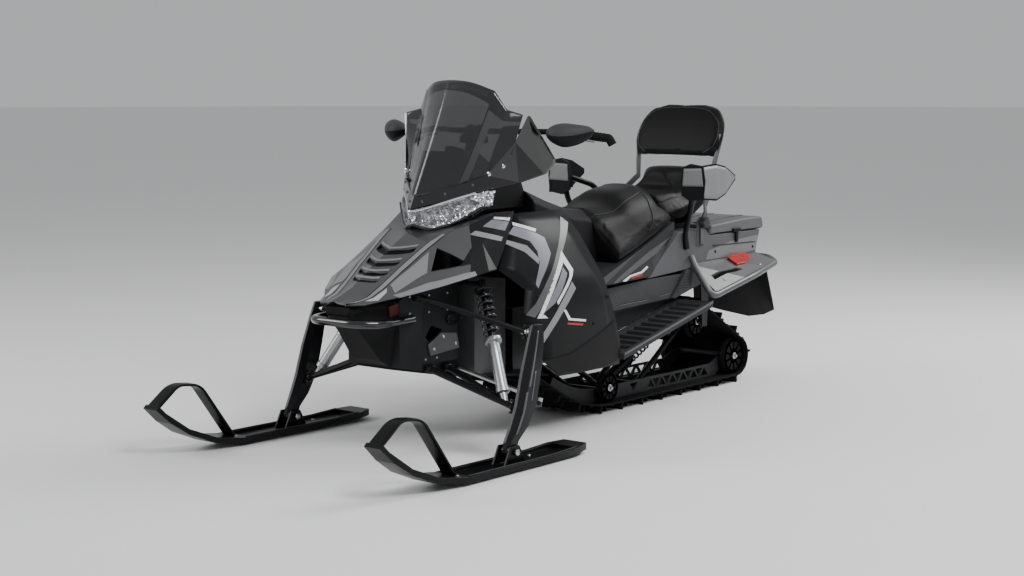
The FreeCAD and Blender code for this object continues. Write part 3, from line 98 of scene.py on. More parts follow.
@dataclass(frozen=True)
class Finish:
    """Procedural finish, with its colour, gloss and relief from noise in Object coordinates."""

    name: str
    colour: Colour
    roughness: float = 0.5
    metallic: float = 0.0
    grain: Grain = Grain.FINE
    size: float = 1.2
    depth: float = 0.12
    drift: float = 0.18
    spread: float = 0.1
    coat: float = 0.0
    sheen: float = 0.0
    alpha: float = 1.0
    glow: float = 0.0
    gloss: float = 0.5

    def material(self) -> bpy.types.Material:
        """Makes the material once.

        Returns:
            The material of this finish.
        """
        known = bpy.data.materials.get(self.name)
        if known:
            return known
        made = bpy.data.materials.new(self.name)
        made.use_nodes = True
        tree = made.node_tree
        nodes, links = tree.nodes, tree.links
        shader = nodes["Principled BSDF"]
        place = nodes.new("ShaderNodeTexCoord")
        cloud = nodes.new("ShaderNodeTexNoise")
        cloud.inputs["Scale"].default_value = 9.0
        cloud.inputs["Detail"].default_value = 5.0
        links.new(place.outputs["Object"], cloud.inputs["Vector"])
        mix = nodes.new("ShaderNodeMix")
        mix.data_type = "RGBA"
        low = [channel * (1 - self.drift) for channel in self.colour]
        high = [min(channel * (1 + self.drift), 1.0) for channel in self.colour]
        mix.inputs[6].default_value = (*low, 1.0)
        mix.inputs[7].default_value = (*high, 1.0)
        links.new(mix.outputs[2], shader.inputs["Base Color"])
        relief = self._relief(nodes, links, place)
        # With the crystal grain the cells set the colour too; on the lamp reflector this paints glints of
        # reflected light.
        links.new(relief if self.grain is Grain.CRYSTAL else cloud.outputs["Fac"], mix.inputs[0])
        level = nodes.new("ShaderNodeMapRange")
        level.inputs["To Min"].default_value = max(self.roughness - self.spread, 0.02)
        level.inputs["To Max"].default_value = min(self.roughness + self.spread, 1.0)
        links.new(relief, level.inputs["Value"])
        links.new(level.outputs["Result"], shader.inputs["Roughness"])
        bump = nodes.new("ShaderNodeBump")
        bump.inputs["Strength"].default_value = self.depth
        bump.inputs["Distance"].default_value = self.size * 0.5 * MM
        links.new(relief, bump.inputs["Height"])
        links.new(bump.outputs["Normal"], shader.inputs["Normal"])
        shader.inputs["Metallic"].default_value = self.metallic
        shader.inputs["Specular IOR Level"].default_value = self.gloss
        shader.inputs["Coat Weight"].default_value = self.coat
        shader.inputs["Coat Roughness"].default_value = 0.12
        shader.inputs["Sheen Weight"].default_value = self.sheen
        shader.inputs["Alpha"].default_value = self.alpha
        if self.glow:
            shader.inputs["Emission Color"].default_value = (*self.colour, 1.0)
            shader.inputs["Emission Strength"].default_value = self.glow
        made.diffuse_color = (*self.colour, self.alpha)
        return made

    def _relief(self, nodes: bpy.types.Nodes, links: bpy.types.NodeLinks,
                place: bpy.types.Node) -> bpy.types.NodeSocket:
        """Texture of the grain, from 0 to 1.

        Args:
            nodes: The material's nodes.
            links: The material's links.
            place: The texture coordinates.

        Returns:
            The socket that holds the grain's height.
        """
        scale = 1000.0 / self.size
        turned = nodes.new("ShaderNodeMapping")
        stretch = (0.06, 1.0, 1.0) if self.grain is Grain.BRUSHED else (1.0, 1.0, 1.0)
        turned.inputs["Scale"].default_value = stretch
        links.new(place.outputs["Object"], turned.inputs["Vector"])
        if self.grain in (Grain.PEBBLE, Grain.CRYSTAL):
            cells = nodes.new("ShaderNodeTexVoronoi")
            cells.feature = "SMOOTH_F1" if self.grain is Grain.PEBBLE else "F1"
            cells.inputs["Scale"].default_value = scale
            links.new(turned.outputs["Vector"], cells.inputs["Vector"])
            return cells.outputs["Distance"]
        grains = nodes.new("ShaderNodeTexNoise")
        grains.inputs["Scale"].default_value = scale
        grains.inputs["Detail"].default_value = 6.0 if self.grain is Grain.CAST else 2.0
        grains.inputs["Roughness"].default_value = 0.7 if self.grain is Grain.CAST else 0.5
        links.new(turned.outputs["Vector"], grains.inputs["Vector"])
        return grains.outputs["Fac"]


HOOD_METAL = Finish("hood_metal", (0.1, 0.102, 0.105), 0.34, 0.6, size=0.7, depth=0.05, coat=0.25)
HOOD_SIDE = Finish("hood_side", (0.013, 0.0133, 0.014), 0.38, 0.2, size=0.8, depth=0.05, gloss=0.1)
PANEL_DARK = Finish("panel_dark", (0.0105, 0.0107, 0.0115), 0.36, 0.15, size=0.8, depth=0.05, gloss=0.1)
# Satin grey: real trim on the seat base and the boards' teeth, and painted highlights on the side panels and in
# the windshield's top band.
SATIN_GREY_AND_SHEEN = Finish("band_satin", (0.095, 0.097, 0.1), 0.38, 0.35, size=0.8, depth=0.05)
BAND_BLUE = Finish("band_blue_grey", (0.17, 0.175, 0.2), 0.42, 0.1, size=0.8, depth=0.04, drift=0.06)
# Grey: real stripes, panel bands and groove edges, and painted highlights on the hood's ridges, louvre bars and
# side facets.
GREY_TRIM_AND_HIGHLIGHT = Finish("band_grey", (0.21, 0.212, 0.216), 0.42, 0.1, size=0.8, depth=0.04, drift=0.06)
# Pale grey: painted highlight on the hood's corner facets.
FACET_HIGHLIGHT_PALE = Finish("band_pale", (0.42, 0.42, 0.42), 0.4, 0.0, size=0.8, depth=0.04, drift=0.05)
TRIM_WHITE = Finish("trim_white", (0.72, 0.72, 0.72), 0.38, size=0.8, depth=0.03, drift=0.04)
TRIM_RED = Finish("trim_red", (0.4, 0.012, 0.01), 0.4, size=0.8, depth=0.03)
TRIM_BLACK = Finish("trim_black", (0.004, 0.004, 0.005), 0.5, size=1.0, depth=0.08, gloss=0.1)
PLASTIC = Finish("moulded_black", (0.009, 0.009, 0.01), 0.44, size=1.0, depth=0.2, gloss=0.1)
PLASTIC_GREY = Finish("moulded_grey", (0.05, 0.051, 0.053), 0.46, size=1.0, depth=0.15, gloss=0.1)
GRAINED = Finish("grained_black", (0.013, 0.013, 0.014), 0.56, grain=Grain.PEBBLE, size=2.4, depth=0.35,
                 gloss=0.1)
GLOSS = Finish("gloss_black", (0.004, 0.004, 0.005), 0.18, size=2.0, depth=0.02, coat=0.6, spread=0.05)
SATIN_TUBE = Finish("satin_tube", (0.008, 0.008, 0.009), 0.34, 0.3, size=1.2, depth=0.08, coat=0.2, gloss=0.1)
TRUNK = Finish("trunk_grey_moulding", (0.1, 0.102, 0.106), 0.46, 0.1, size=1.2, depth=0.15, gloss=0.1)
TRUNK_LOW = Finish("trunk_light_moulding", (0.17, 0.172, 0.176), 0.46, 0.1, size=1.2, depth=0.12)
LID = Finish("lid_textured", (0.085, 0.087, 0.09), 0.56, grain=Grain.PEBBLE, size=2.6, depth=0.35)
BASE = Finish("seat_base_moulding", (0.034, 0.035, 0.037), 0.42, size=1.0, depth=0.1, gloss=0.1)
TUNNEL = Finish("tunnel_sheet", (0.03, 0.031, 0.033), 0.42, 0.45, Grain.BRUSHED, 1.4, 0.1)
PANEL_RIB = Finish("tunnel_side_moulding", (0.055, 0.056, 0.059), 0.44, 0.1, size=1.0, depth=0.12, gloss=0.1)
VINYL = Finish("seat_vinyl_grain", (0.006, 0.006, 0.0063), 0.42, grain=Grain.PEBBLE, size=1.9, depth=0.4,
               sheen=0.01, gloss=0.12)
PIPING = Finish("piping_black", (0.003, 0.003, 0.003), 0.4, size=0.8, depth=0.2)
GUARD = Finish("guard_skin_grey", (0.17, 0.172, 0.176), 0.45, grain=Grain.PEBBLE, size=1.6, depth=0.15)
SILVER = Finish("silver_metal", (0.42, 0.43, 0.44), 0.34, 0.9, Grain.BRUSHED, 1.1, 0.12)
SILVER_PAINT = Finish("silver_paint", (0.095, 0.097, 0.1), 0.45, 0.5, size=0.8, depth=0.06, coat=0.2)
STEEL = Finish("steel_rod", (0.5, 0.5, 0.5), 0.3, 1.0, Grain.BRUSHED, 0.9, 0.12)
CHROME = Finish("chrome", (0.85, 0.86, 0.87), 0.08, 1.0, size=3.0, depth=0.01, spread=0.03)
# Lamp reflector: cells swing the colour from near black to near white as painted glints, over real faceted bumps.
CRYSTAL = Finish("lamp_crystal", (0.52, 0.53, 0.55), 0.13, 0.9, Grain.CRYSTAL, 15.0, 1.0, drift=0.82,
                 spread=0.08)
CASTING = Finish("cast_grey", (0.09, 0.092, 0.096), 0.5, 0.5, Grain.CAST, 2.0, 0.35)
BULKHEAD = Finish("bulkhead_plate", (0.022, 0.0225, 0.024), 0.42, 0.45, Grain.CAST, 2.6, 0.18, gloss=0.1)
SPINDLE = Finish("spindle_paint", (0.014, 0.014, 0.016), 0.32, 0.5, Grain.CAST, 2.4, 0.15, coat=0.25, gloss=0.1)
WHEEL = Finish("wheel_moulding", (0.035, 0.0355, 0.037), 0.46, 0.1, size=1.2, depth=0.15, gloss=0.1)
OXIDE = Finish("oxide_red", (0.07, 0.006, 0.005), 0.5, 0.2, Grain.CAST, 2.0, 0.2)
RUBBER = Finish("track_rubber_black", (0.009, 0.009, 0.009), 0.74, grain=Grain.CAST, size=2.2, depth=0.4,
                gloss=0.1)
SKI = Finish("ski_moulding", (0.004, 0.004, 0.0045), 0.34, size=1.2, depth=0.08, coat=0.08, gloss=0.12)
SMOKE = Finish("smoked_sheet", (0.016, 0.017, 0.019), 0.05, size=6.0, depth=0.01, spread=0.02, alpha=0.7,
               coat=0.6)
SMOKE_DARK = Finish("smoked_band", (0.004, 0.004, 0.005), 0.12, size=6.0, depth=0.01, spread=0.03, alpha=0.94)
# Painted reflections: pale strips along the windshield's creases, light grey on the left and near white on the
# right.
CREASE_SHEEN_GREY = Finish("smoked_strip", (0.34, 0.345, 0.35), 0.2, size=6.0, depth=0.01, spread=0.03, alpha=0.8)
CREASE_GLARE_WHITE = Finish("bright_strip", (0.8, 0.81, 0.82), 0.14, size=6.0, depth=0.01, spread=0.03, alpha=0.85)
CLEAR = Finish("clear_lens", (0.5, 0.52, 0.55), 0.02, size=6.0, depth=0.01, spread=0.01, alpha=0.08, coat=0.4)
LAMP_RED = Finish("lamp_red_lens", (0.34, 0.006, 0.008), 0.16, grain=Grain.CRYSTAL, size=6.0, depth=0.25,
                  coat=0.1, spread=0.05, gloss=0.3)
FILAMENT = Finish("lamp_core", (0.8, 0.82, 0.86), 0.2, size=2.0, depth=0.02, glow=0.1)
FLOOR = Finish("studio_floor", (0.82, 0.82, 0.82), 0.75, size=6.0, depth=0.01, drift=0.01)

NODE_FINISHES: dict[str, Finish] = {
    "track": RUBBER, "drive_axle": SPINDLE, "skid_arms": SATIN_TUBE, "idler_wheels": WHEEL, "slide_rails": WHEEL,
    "engine": CASTING, "hood_louvres": TRIM_BLACK, "steering_post": SATIN_TUBE,
}


@dataclass(frozen=True)
class Skin:
    """Softened stand-in for a CAD node.

    It has a finish, a slot of the record, a bevel's width in millimetres and a smoothing angle in degrees. Where
    it has a finish `side`, the faces whose normal has a sideways part over `steep` get it.
    """

    finish: Finish
    slot: str
    bevel: float = 2.0
    angle: float = 24.0
    side: Finish | None = None
    steep: float = 0.6


def both_sides(name: str, skin: Skin) -> dict[str, Skin]:
    """The same skin for the left and the right node of a pair."""
    return {f"{side}_{name}": skin for side in ("left", "right")}


SKINS: dict[str, Skin] = {
    "tunnel": Skin(TUNNEL, "tunnel_grey", 1.0),
    **both_sides("running_board", Skin(WHEEL, "board_black", 1.5)),
    "seat_base": Skin(BASE, "base_charcoal", 6.0),
    "trunk_box": Skin(TRUNK, "trunk_grey", 9.0),
    "trunk_lid": Skin(LID, "lid_grey", 9.0),
    **both_sides("tunnel_panel", Skin(PANEL_RIB, "panel_grey", 1.5)),
    **both_sides("heel_guard", Skin(PLASTIC_GREY, "guard_grey", 1.5)),
    "belly_pan": Skin(PLASTIC, "belly_black", 6.0),
    "belly_tray": Skin(PLASTIC, "belly_black", 4.0),
    "hood": Skin(HOOD_METAL, "hood_charcoal", 2.0, 18.0, HOOD_SIDE, 0.55),
    "bulkhead": Skin(BULKHEAD, "bulkhead_grey", 3.0),
    # Lamp housing in the crystal finish, whose light and dark cells are painted glints.
    "headlamp_housing": Skin(CRYSTAL, "lamp_chrome", 1.0),
    "windshield_cowl": Skin(GLOSS, "cowl_black", 2.0, 30.0),
    "dash": Skin(GRAINED, "dash_black", 8.0),
    "console": Skin(PLASTIC, "console_black", 12.0, 30.0),
    "passenger_pan": Skin(GRAINED, "grain_black", 4.0),
    "rear_side_plates": Skin(SILVER_PAINT, "plate_silver", 2.0),
    "tail_lamps": Skin(LAMP_RED, "lamp_red", 3.0),
    "snow_flap": Skin(GRAINED, "flap_black", 2.0, 40.0),
    "passenger_guards": Skin(PLASTIC, "grain_black", 9.0, 30.0),
    "backrest_frame": Skin(SILVER_PAINT, "post_silver", 2.0, 30.0),
    **both_sides("spindle", Skin(SPINDLE, "spindle_black", 2.5, 30.0)),
    **both_sides("ski", Skin(SKI, "ski_black", 4.0, 30.0)),
    **both_sides("ski_runner", Skin(STEEL, "runner_steel", 1.0)),
}


@dataclass
class Shell:
    """Surface in millimetres: its points, and its faces as corner numbers."""

    points: np.ndarray
    faces: list[tuple[int, ...]]

    def plus(self, *others: "Shell") -> "Shell":
        """This surface and others as one.

        Args:
            *others: The surfaces to add.

        Returns:
            One surface that holds them all.
        """
        points, faces = [self.points], list(self.faces)
        count = len(self.points)
        for other in others:
            points.append(other.points)
            faces += [tuple(corner + count for corner in face) for face in other.faces]
            count += len(other.points)
        return Shell(np.concatenate(points), faces)

    def mirrored(self) -> "Shell":
        """The same surface on the other side of the middle plane."""
        return Shell(self.points * (1.0, -1.0, 1.0), [face[::-1] for face in self.faces])

    def both(self) -> "Shell":
        """This surface with its mirror image."""
        return self.plus(self.mirrored())


def joined(shells: list[Shell]) -> Shell:
    """Several surfaces as one."""
    return shells[0].plus(*shells[1:])


def grid(points: np.ndarray, around: bool = False, along: bool = False, capped: bool = False) -> Shell:
    """Quads over a grid of points: neighbours in both parameters make one face.

    Args:
        points: Array of rows, columns and three coordinates.
        around: The columns close on themselves.
        along: The rows close on themselves.
        capped: The first and last rows are closed by a face each.

    Returns:
        The surface.
    """
    rows, columns = points.shape[:2]
    index = np.arange(rows * columns).reshape(rows, columns)
    ends = [tuple(index[0][::-1].tolist()), tuple(index[-1].tolist())]
    if along:
        index = np.vstack([index, index[:1]])
    if around:
        index = np.hstack([index, index[:, :1]])
    quads = np.stack([index[:-1, :-1], index[:-1, 1:], index[1:, 1:], index[1:, :-1]], -1)
    faces = [tuple(quad) for quad in quads.reshape(-1, 4).tolist()]
    return Shell(points.reshape(-1, 3).astype(float), faces + (ends if capped else []))


def resampled(points: np.ndarray, count: int) -> np.ndarray:
    """Points at even shares of a broken line's corners, in a straight line between them.

    Args:
        points: The corners, in two or three coordinates.
        count: How many points to return.

    Returns:
        The array of points.
    """
    points = np.asarray(points, float)
    share = np.linspace(0, len(points) - 1, count)
    low = np.minimum(share.astype(int), len(points) - 2)
    part = (share - low).reshape((-1,) + (1,) * (points.ndim - 1))
    return points[low] * (1 - part) + points[low + 1] * part


def curved(points: np.ndarray, count: int, closed: bool = False) -> np.ndarray:
    """Smooth curve through points: the cubic whose slope at a point is half the step between its neighbours.

    Args:
        points: The points that it goes through, along the first axis.
        count: How many points to return.
        closed: The curve returns to its first point.

    Returns:
        The array of points along the first axis.
    """
    points = np.asarray(points, float)
    if closed:
        padded = np.concatenate([points[-1:], points, points[:2]])
        share = np.linspace(0, len(points), count, endpoint=False)
    else:
        padded = np.concatenate([2 * points[:1] - points[1:2], points, 2 * points[-1:] - points[-2:-1]])
        share = np.linspace(0, len(points) - 1, count)
    start = np.minimum(share.astype(int), len(padded) - 4)
    t = (share - start).reshape((-1,) + (1,) * (points.ndim - 1))
    a, b, c, d = (padded[start + shift] for shift in range(4))
    return 0.5 * (2 * b + (c - a) * t + (2 * a - 5 * b + 4 * c - d) * t ** 2 + (3 * b - a - 3 * c + d) * t ** 3)


def cut_corners(points: np.ndarray, ratio: float, times: int) -> np.ndarray:
    """Broken line with its corners cut: each leg keeps the part between its two ratios, and the ends stay.

    Args:
        points: The corners along the first axis.
        ratio: Share of a leg that is cut at each end.
        times: How often it is done.

    Returns:
        The array of points.
    """
    for _ in range(times):
        near = points[:-1] * (1 - ratio) + points[1:] * ratio
        far = points[:-1] * ratio + points[1:] * (1 - ratio)
        between = np.stack([near, far], 1).reshape((-1,) + points.shape[1:])
        points = np.concatenate([points[:1], between[1:-1], points[-1:]])
    return points


def faces_out(thing: bpy.types.Object, sign: float) -> None:
    """Turns an open skin's faces so that most of them look to one side of the machine.

    Args:
        thing: The skin.
        sign: 1 for the left side and -1 for the right.
    """
    mesh = thing.data
    normals = np.empty(len(mesh.polygons) * 3)
    mesh.polygons.foreach_get("normal", normals)
    if normals[1::3].sum() * sign < 0:
        mesh.flip_normals()


def rounded(points: list[Point], bend: float, steps: int = 9) -> np.ndarray:
    """Broken line whose corners are parabolas that start and end one bend away from the corner.

    Args:
        points: The corners.
        bend: The distance from a corner at which its curve starts.
        steps: Points on each curve.

    Returns:
        The array of points.
    """
    corners = np.asarray(points, float)
    t = np.linspace(0, 1, steps)[:, None]
    path = [corners[:1]]
    for before, corner, after in zip(corners, corners[1:], corners[2:]):
        first, last = before - corner, after - corner
        near = min(bend, np.linalg.norm(first) * 0.48, np.linalg.norm(last) * 0.48)
        first = corner + first / np.linalg.norm(first) * near
        last = corner + last / np.linalg.norm(last) * near
        path.append((1 - t) ** 2 * first + 2 * t * (1 - t) * corner + t ** 2 * last)
    path.append(corners[-1:])
    return np.concatenate(path)


def swept(path: np.ndarray, radius: float | np.ndarray, sides: int = 16, flat: float = 1.0,
          power: float = 2.0, closed: bool = False) -> Shell:
    """Tube along a path: each ring is a super-ellipse in the plane across the path.

    Args:
        path: The points of the path.
        radius: One radius, or one for each point.
        sides: Corners of a ring.
        flat: The ring's height as a share of its width.
        power: 2 for an ellipse, and more for squarer corners.
        closed: The path returns to its first point.

    Returns:
        The closed surface.
    """
    path = np.asarray(path, float)
    heading = np.roll(path, -1, 0) - np.roll(path, 1, 0) if closed else np.gradient(path, axis=0)
    heading /= np.linalg.norm(heading, axis=1, keepdims=True)
    side = np.array((0.0, 1.0, 0.0)) if abs(heading[0, 1]) < 0.8 else np.array((0.0, 0.0, 1.0))
    across = np.empty_like(path)
    for number, forward in enumerate(heading):
        side = side - forward * side.dot(forward)
        side = side / np.linalg.norm(side)
        across[number] = side
    upright = np.cross(heading, across)
    turn = np.linspace(0, 2 * np.pi, sides, endpoint=False)
    wide = np.sign(np.cos(turn)) * np.abs(np.cos(turn)) ** (2 / power)
    high = np.sign(np.sin(turn)) * np.abs(np.sin(turn)) ** (2 / power) * flat
    size = np.broadcast_to(np.asarray(radius, float), (len(path),))[:, None, None]
    rings = path[:, None] + size * (across[:, None] * wide[None, :, None] + upright[:, None] * high[None, :, None])
    return grid(rings, around=True, along=closed, capped=not closed)


def turned(profile: list[Flat], start: Point, toward: Point, sides: int = 28) -> Shell:
    """Form of revolution: each profile point is a ring at its distance along the axis, with its radius.

    Args:
        profile: Distance from the start and radius, point by point.
        start: Where the axis starts.
        toward: A point that the axis runs through.
        sides: Corners of a ring.

    Returns:
        The closed surface.
    """
    start, toward = np.asarray(start, float), np.asarray(toward, float)
    axis = (toward - start) / np.linalg.norm(toward - start)
    across = np.cross(axis, (0.0, 0.0, 1.0) if abs(axis[2]) < 0.9 else (1.0, 0.0, 0.0))
    across /= np.linalg.norm(across)
    upright = np.cross(axis, across)
    turn = np.linspace(0, 2 * np.pi, sides, endpoint=False)
    spoke = across * np.cos(turn)[:, None] + upright * np.sin(turn)[:, None]
    table = np.asarray(profile, float)
    rings = start + axis * table[:, 0, None, None] + spoke[None] * table[:, 1, None, None]
    return grid(rings, around=True, capped=True)


def plate(outline: list[Flat], axis: int, low: float, high: float) -> Shell:
    """Prism of an outline between two offsets along an axis.

    Args:
        outline: Corners on the other two axes, in their order.
        axis: The number of the axis that it stands along.
        low: The lower offset.
        high: The higher offset.

    Returns:
        The closed surface.
    """
    flat = np.asarray(outline, float)
    rings = np.stack([np.insert(flat, axis, low, axis=1), np.insert(flat, axis, high, axis=1)])
    return grid(rings, around=True, capped=True)


def piece(name: str, shell: Shell, finish: Finish, near: str, replaces: tuple[str, ...] = (),
          closed: bool = True, sharp: float = 38.0, bevel: float = 0.0, thick: float = 0.0) -> bpy.types.Object:
    """Makes a piece that rides on a node's body.

    Args:
        name: The piece's name.
        shell: Its surface in millimetres.
        finish: Its finish.
        near: A node of the body that carries it.
        replaces: Nodes that it stands for.
        closed: The surface is closed, so its faces are turned outward.
        sharp: Edges that turn by more degrees stay sharp.
        bevel: Width of its edges' bevel.
        thick: Wall thickness that is added behind an open sheet.

    Returns:
        The object.
    """
    mesh = bpy.data.meshes.new(name)
    mesh.from_pydata((shell.points * MM).tolist(), [], shell.faces)
    work = bmesh.new()
    work.from_mesh(mesh)
    bmesh.ops.remove_doubles(work, verts=work.verts, dist=2e-6)
    loose = [corner for corner in work.verts if not corner.link_faces]
    bmesh.ops.delete(work, geom=loose, context="VERTS")
    if closed:
        bmesh.ops.recalc_face_normals(work, faces=work.faces)
    work.to_mesh(mesh)
    work.free()
    mesh.shade_smooth()
    mesh.set_sharp_from_angle(angle=math.radians(sharp))
    mesh.materials.append(finish.material())
    made = bpy.data.objects.new(name, mesh)
    bpy.context.scene.collection.objects.link(made)
    if thick:
        wall = made.modifiers.new("Wall", "SOLIDIFY")
        wall.thickness = thick * MM
        wall.offset = -1.0
    if bevel:
        soft = made.modifiers.new("Soft edge", "BEVEL")
        soft.width = bevel * MM
        soft.segments = 2
        soft.limit_method = "ANGLE"
    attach(made, bpy.data.objects[near]["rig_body"])
    if replaces:
        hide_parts(*replaces)
    log.info("%s: %d faces on %s", name, len(mesh.polygons), near)
    return made


def softened(name: str, skin: Skin) -> bpy.types.Object:
    """Stands a node's form with rounded edges and smoothed shallow folds in for the node.

    Args:
        name: The node's name.
        skin: Its looks.

    Returns:
        The piece.
    """
    node = bpy.data.objects[name]
    mesh = node.data.copy()
    mesh.name = f"{name}_skin"
    mesh.transform(node.matrix_world)
    work = bmesh.new()
    work.from_mesh(mesh)
    bmesh.ops.remove_doubles(work, verts=work.verts, dist=2e-5)
    bmesh.ops.dissolve_limit(work, angle_limit=math.radians(1.0), verts=work.verts, edges=work.edges)
    work.to_mesh(mesh)
    work.free()
    mesh.shade_smooth()
    mesh.set_sharp_from_angle(angle=math.radians(skin.angle))
    mesh.materials.clear()
    mesh.materials.append(skin.finish.material())
    if skin.side:
        mesh.materials.append(skin.side.material())
        normals = np.empty(len(mesh.polygons) * 3)
        mesh.polygons.foreach_get("normal", normals)
        mesh.polygons.foreach_set("material_index", (np.abs(normals[1::3]) > skin.steep).astype(np.int32))
    made = bpy.data.objects.new(mesh.name, mesh)
    bpy.context.scene.collection.objects.link(made)
    soft = made.modifiers.new("Soft edge", "BEVEL")
    soft.width = skin.bevel * MM
    soft.segments = 3
    soft.limit_method = "ANGLE"
    soft.angle_limit = math.radians(skin.angle)
    soft.use_clamp_overlap = True
    soft.harden_normals = True
    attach(made, node["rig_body"])
    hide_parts(name)
    return made


FAR_BESIDE = 900.0
FAR_AHEAD = 1600.0


def surface_of(node: str) -> bpy.types.Object:
    """The surface that shows for a node: its skin where it has one, and the node itself otherwise."""
    return bpy.data.objects.get(f"{node}_skin") or bpy.data.objects[node]


def draped(points: np.ndarray, target: bpy.types.Object, ray: Ray,
           rise: float = 0.7) -> tuple[np.ndarray, np.ndarray]:
    """Points carried straight along one axis onto a surface, and lifted off it by an amount.

    Args:
        points: Array of points in millimetres.
        target: The object they land on.
        ray: The axis and the side that they come from.
        rise: The lift in millimetres.

    Returns:
        The points on the surface, and a mask of those that met it.
    """
    axis, sign = ray.value
    start = np.array(points, float)
    start[:, axis] = sign * FAR_BESIDE if axis == 1 else FAR_AHEAD
    mesh = bpy.data.meshes.new("draping")
    mesh.from_pydata((start * MM).tolist(), [], [])
    probe = bpy.data.objects.new("draping", mesh)
    bpy.context.scene.collection.objects.link(probe)
    wrap = probe.modifiers.new("Wrap", "SHRINKWRAP")
    wrap.target = target
    wrap.wrap_method = "PROJECT"
    wrap.wrap_mode = "ABOVE_SURFACE"
    wrap.use_project_x, wrap.use_project_y, wrap.use_project_z = axis == 0, axis == 1, axis == 2
    wrap.use_negative_direction = sign > 0
    wrap.use_positive_direction = sign < 0
    bpy.context.view_layer.update()
    graph = bpy.context.evaluated_depsgraph_get()
    found = probe.evaluated_get(graph).to_mesh()
    landed = np.empty(len(found.vertices) * 3)
    found.vertices.foreach_get("co", landed)
    landed = landed.reshape(-1, 3) * PER_METRE
    bpy.data.objects.remove(probe)
    met = np.abs(landed[:, axis] - start[:, axis]) > 1.0
    landed[:, axis] += sign * rise
    return landed, met


@dataclass
class Strip:
    """Thin trim between two edges that is laid on a node along one axis.

    The edges hold points on the other two axes. A face is left out where its corners lie more than `jump` apart
    along the axis, because it would span a gap.
    """

    name: str
    finish: Finish
    one: list[Flat]
    two: list[Flat]
    target: str
    rise: float = 0.7
    thick: float = 0.0
    jump: float = 30.0

    def lay(self, ray: Ray, suffix: str = "") -> bpy.types.Object | None:
        """Makes the strip: rows of points run from one edge straight to the other, and fall on the surface.

        Args:
            ray: The axis and the side that it comes from.
            suffix: Added to the piece's name.

        Returns:
            The piece, or nothing where no face met the surface.
        """
        legs = len(self.one) - 1
        count = 14 * legs + 1
        edge, other = resampled(self.one, count), resampled(self.two, count)
        share = np.linspace(0, 1, 9)[None, :, None]
        flat = edge[:, None] * (1 - share) + other[:, None] * share
        axis, sign = ray.value
        space = np.insert(flat, axis, 0.0, axis=2)
        if axis != 1 and sign < 0:
            space[..., 1] *= -1
        landed, met = draped(space.reshape(-1, 3), surface_of(self.target), ray, self.rise)
        sheet = grid(landed.reshape(space.shape))
        corners = np.array(sheet.faces)
        depth = landed[corners][:, :, axis]
        kept = met[corners].all(axis=1) & (np.ptp(depth, axis=1) < self.jump)
        if axis == 1:
            kept &= (depth * sign > 10.0).all(axis=1)
        corners = corners[kept]
        if not len(corners):
            log.warning("%s met nothing", self.name)
            return None
        faces = [tuple(face) for face in corners.tolist()]
        first = landed[corners[:, 0]]
        normal = np.cross(landed[corners[:, 1]] - first, landed[corners[:, 2]] - first)
        if normal[:, axis].sum() * sign < 0:
            faces = [face[::-1] for face in faces]
        return piece(self.name + suffix, Shell(landed, faces), self.finish, self.target, closed=False,
                     thick=self.thick)

    def sides(self) -> None:
        """Lays the strip on the left, and its mirror image on the right-hand node."""
        self.lay(Ray.LEFT, "_left")
        opposite = self.target.replace("left_", "right_")
        other = Strip(self.name, self.finish, self.one, self.two, opposite, self.rise, self.thick)
        other.lay(Ray.RIGHT, "_right")


Band = tuple[str, Finish, list[Flat], list[Flat]]
SIDES: tuple[tuple[str, Ray], ...] = (("left", Ray.LEFT), ("right", Ray.RIGHT))


def seam(name: str, points: list[Flat], target: bpy.types.Object, ray: Ray, near: str, radius: float = 2.2,
         finish: Finish = PIPING) -> None:
    """Cord-like welt that follows a curve laid on a surface.

    Args:
        name: The piece's name.
        points: The curve's points on the other two axes.
        target: The surface it lies on.
        ray: The axis and the side that it comes from.
        near: A node of the body that carries it.
        radius: The welt's radius.
        finish: Its finish.
    """
    axis = ray.value[0]
    path, met = draped(np.insert(curved(points, 60), axis, 0.0, axis=1), target, ray, 0.3)
    if met.sum() > 3:
        piece(name, swept(path[met], radius, 8), finish, near)


def studs(name: str, places: list[Flat], target: str, ray: Ray, finish: Finish = STEEL,
          radius: float = 6.0) -> None:
    """Screw heads laid on a node: a domed ring with a sunk socket.

    Args:
        name: The piece's name.
        places: Their places on the other two axes.
        target: The node that carries them.
        ray: The axis and the side that they come from.
        finish: Their finish.
        radius: A head's radius.
    """
    axis, sign = ray.value
    landed, met = draped(np.insert(np.asarray(places, float), axis, 0.0, axis=1), surface_of(target), ray, 0.0)
    profile = [(-1.5, radius), (1.0, radius), (2.4, radius * 0.8), (2.6, radius * 0.5), (1.2, radius * 0.45),
               (1.2, 0.01)]
    heading = np.zeros(3)
    heading[axis] = sign
    heads = [turned(profile, place, place + heading, 18) for place in landed[met]]
    if heads:
        piece(name, joined(heads), finish, target)


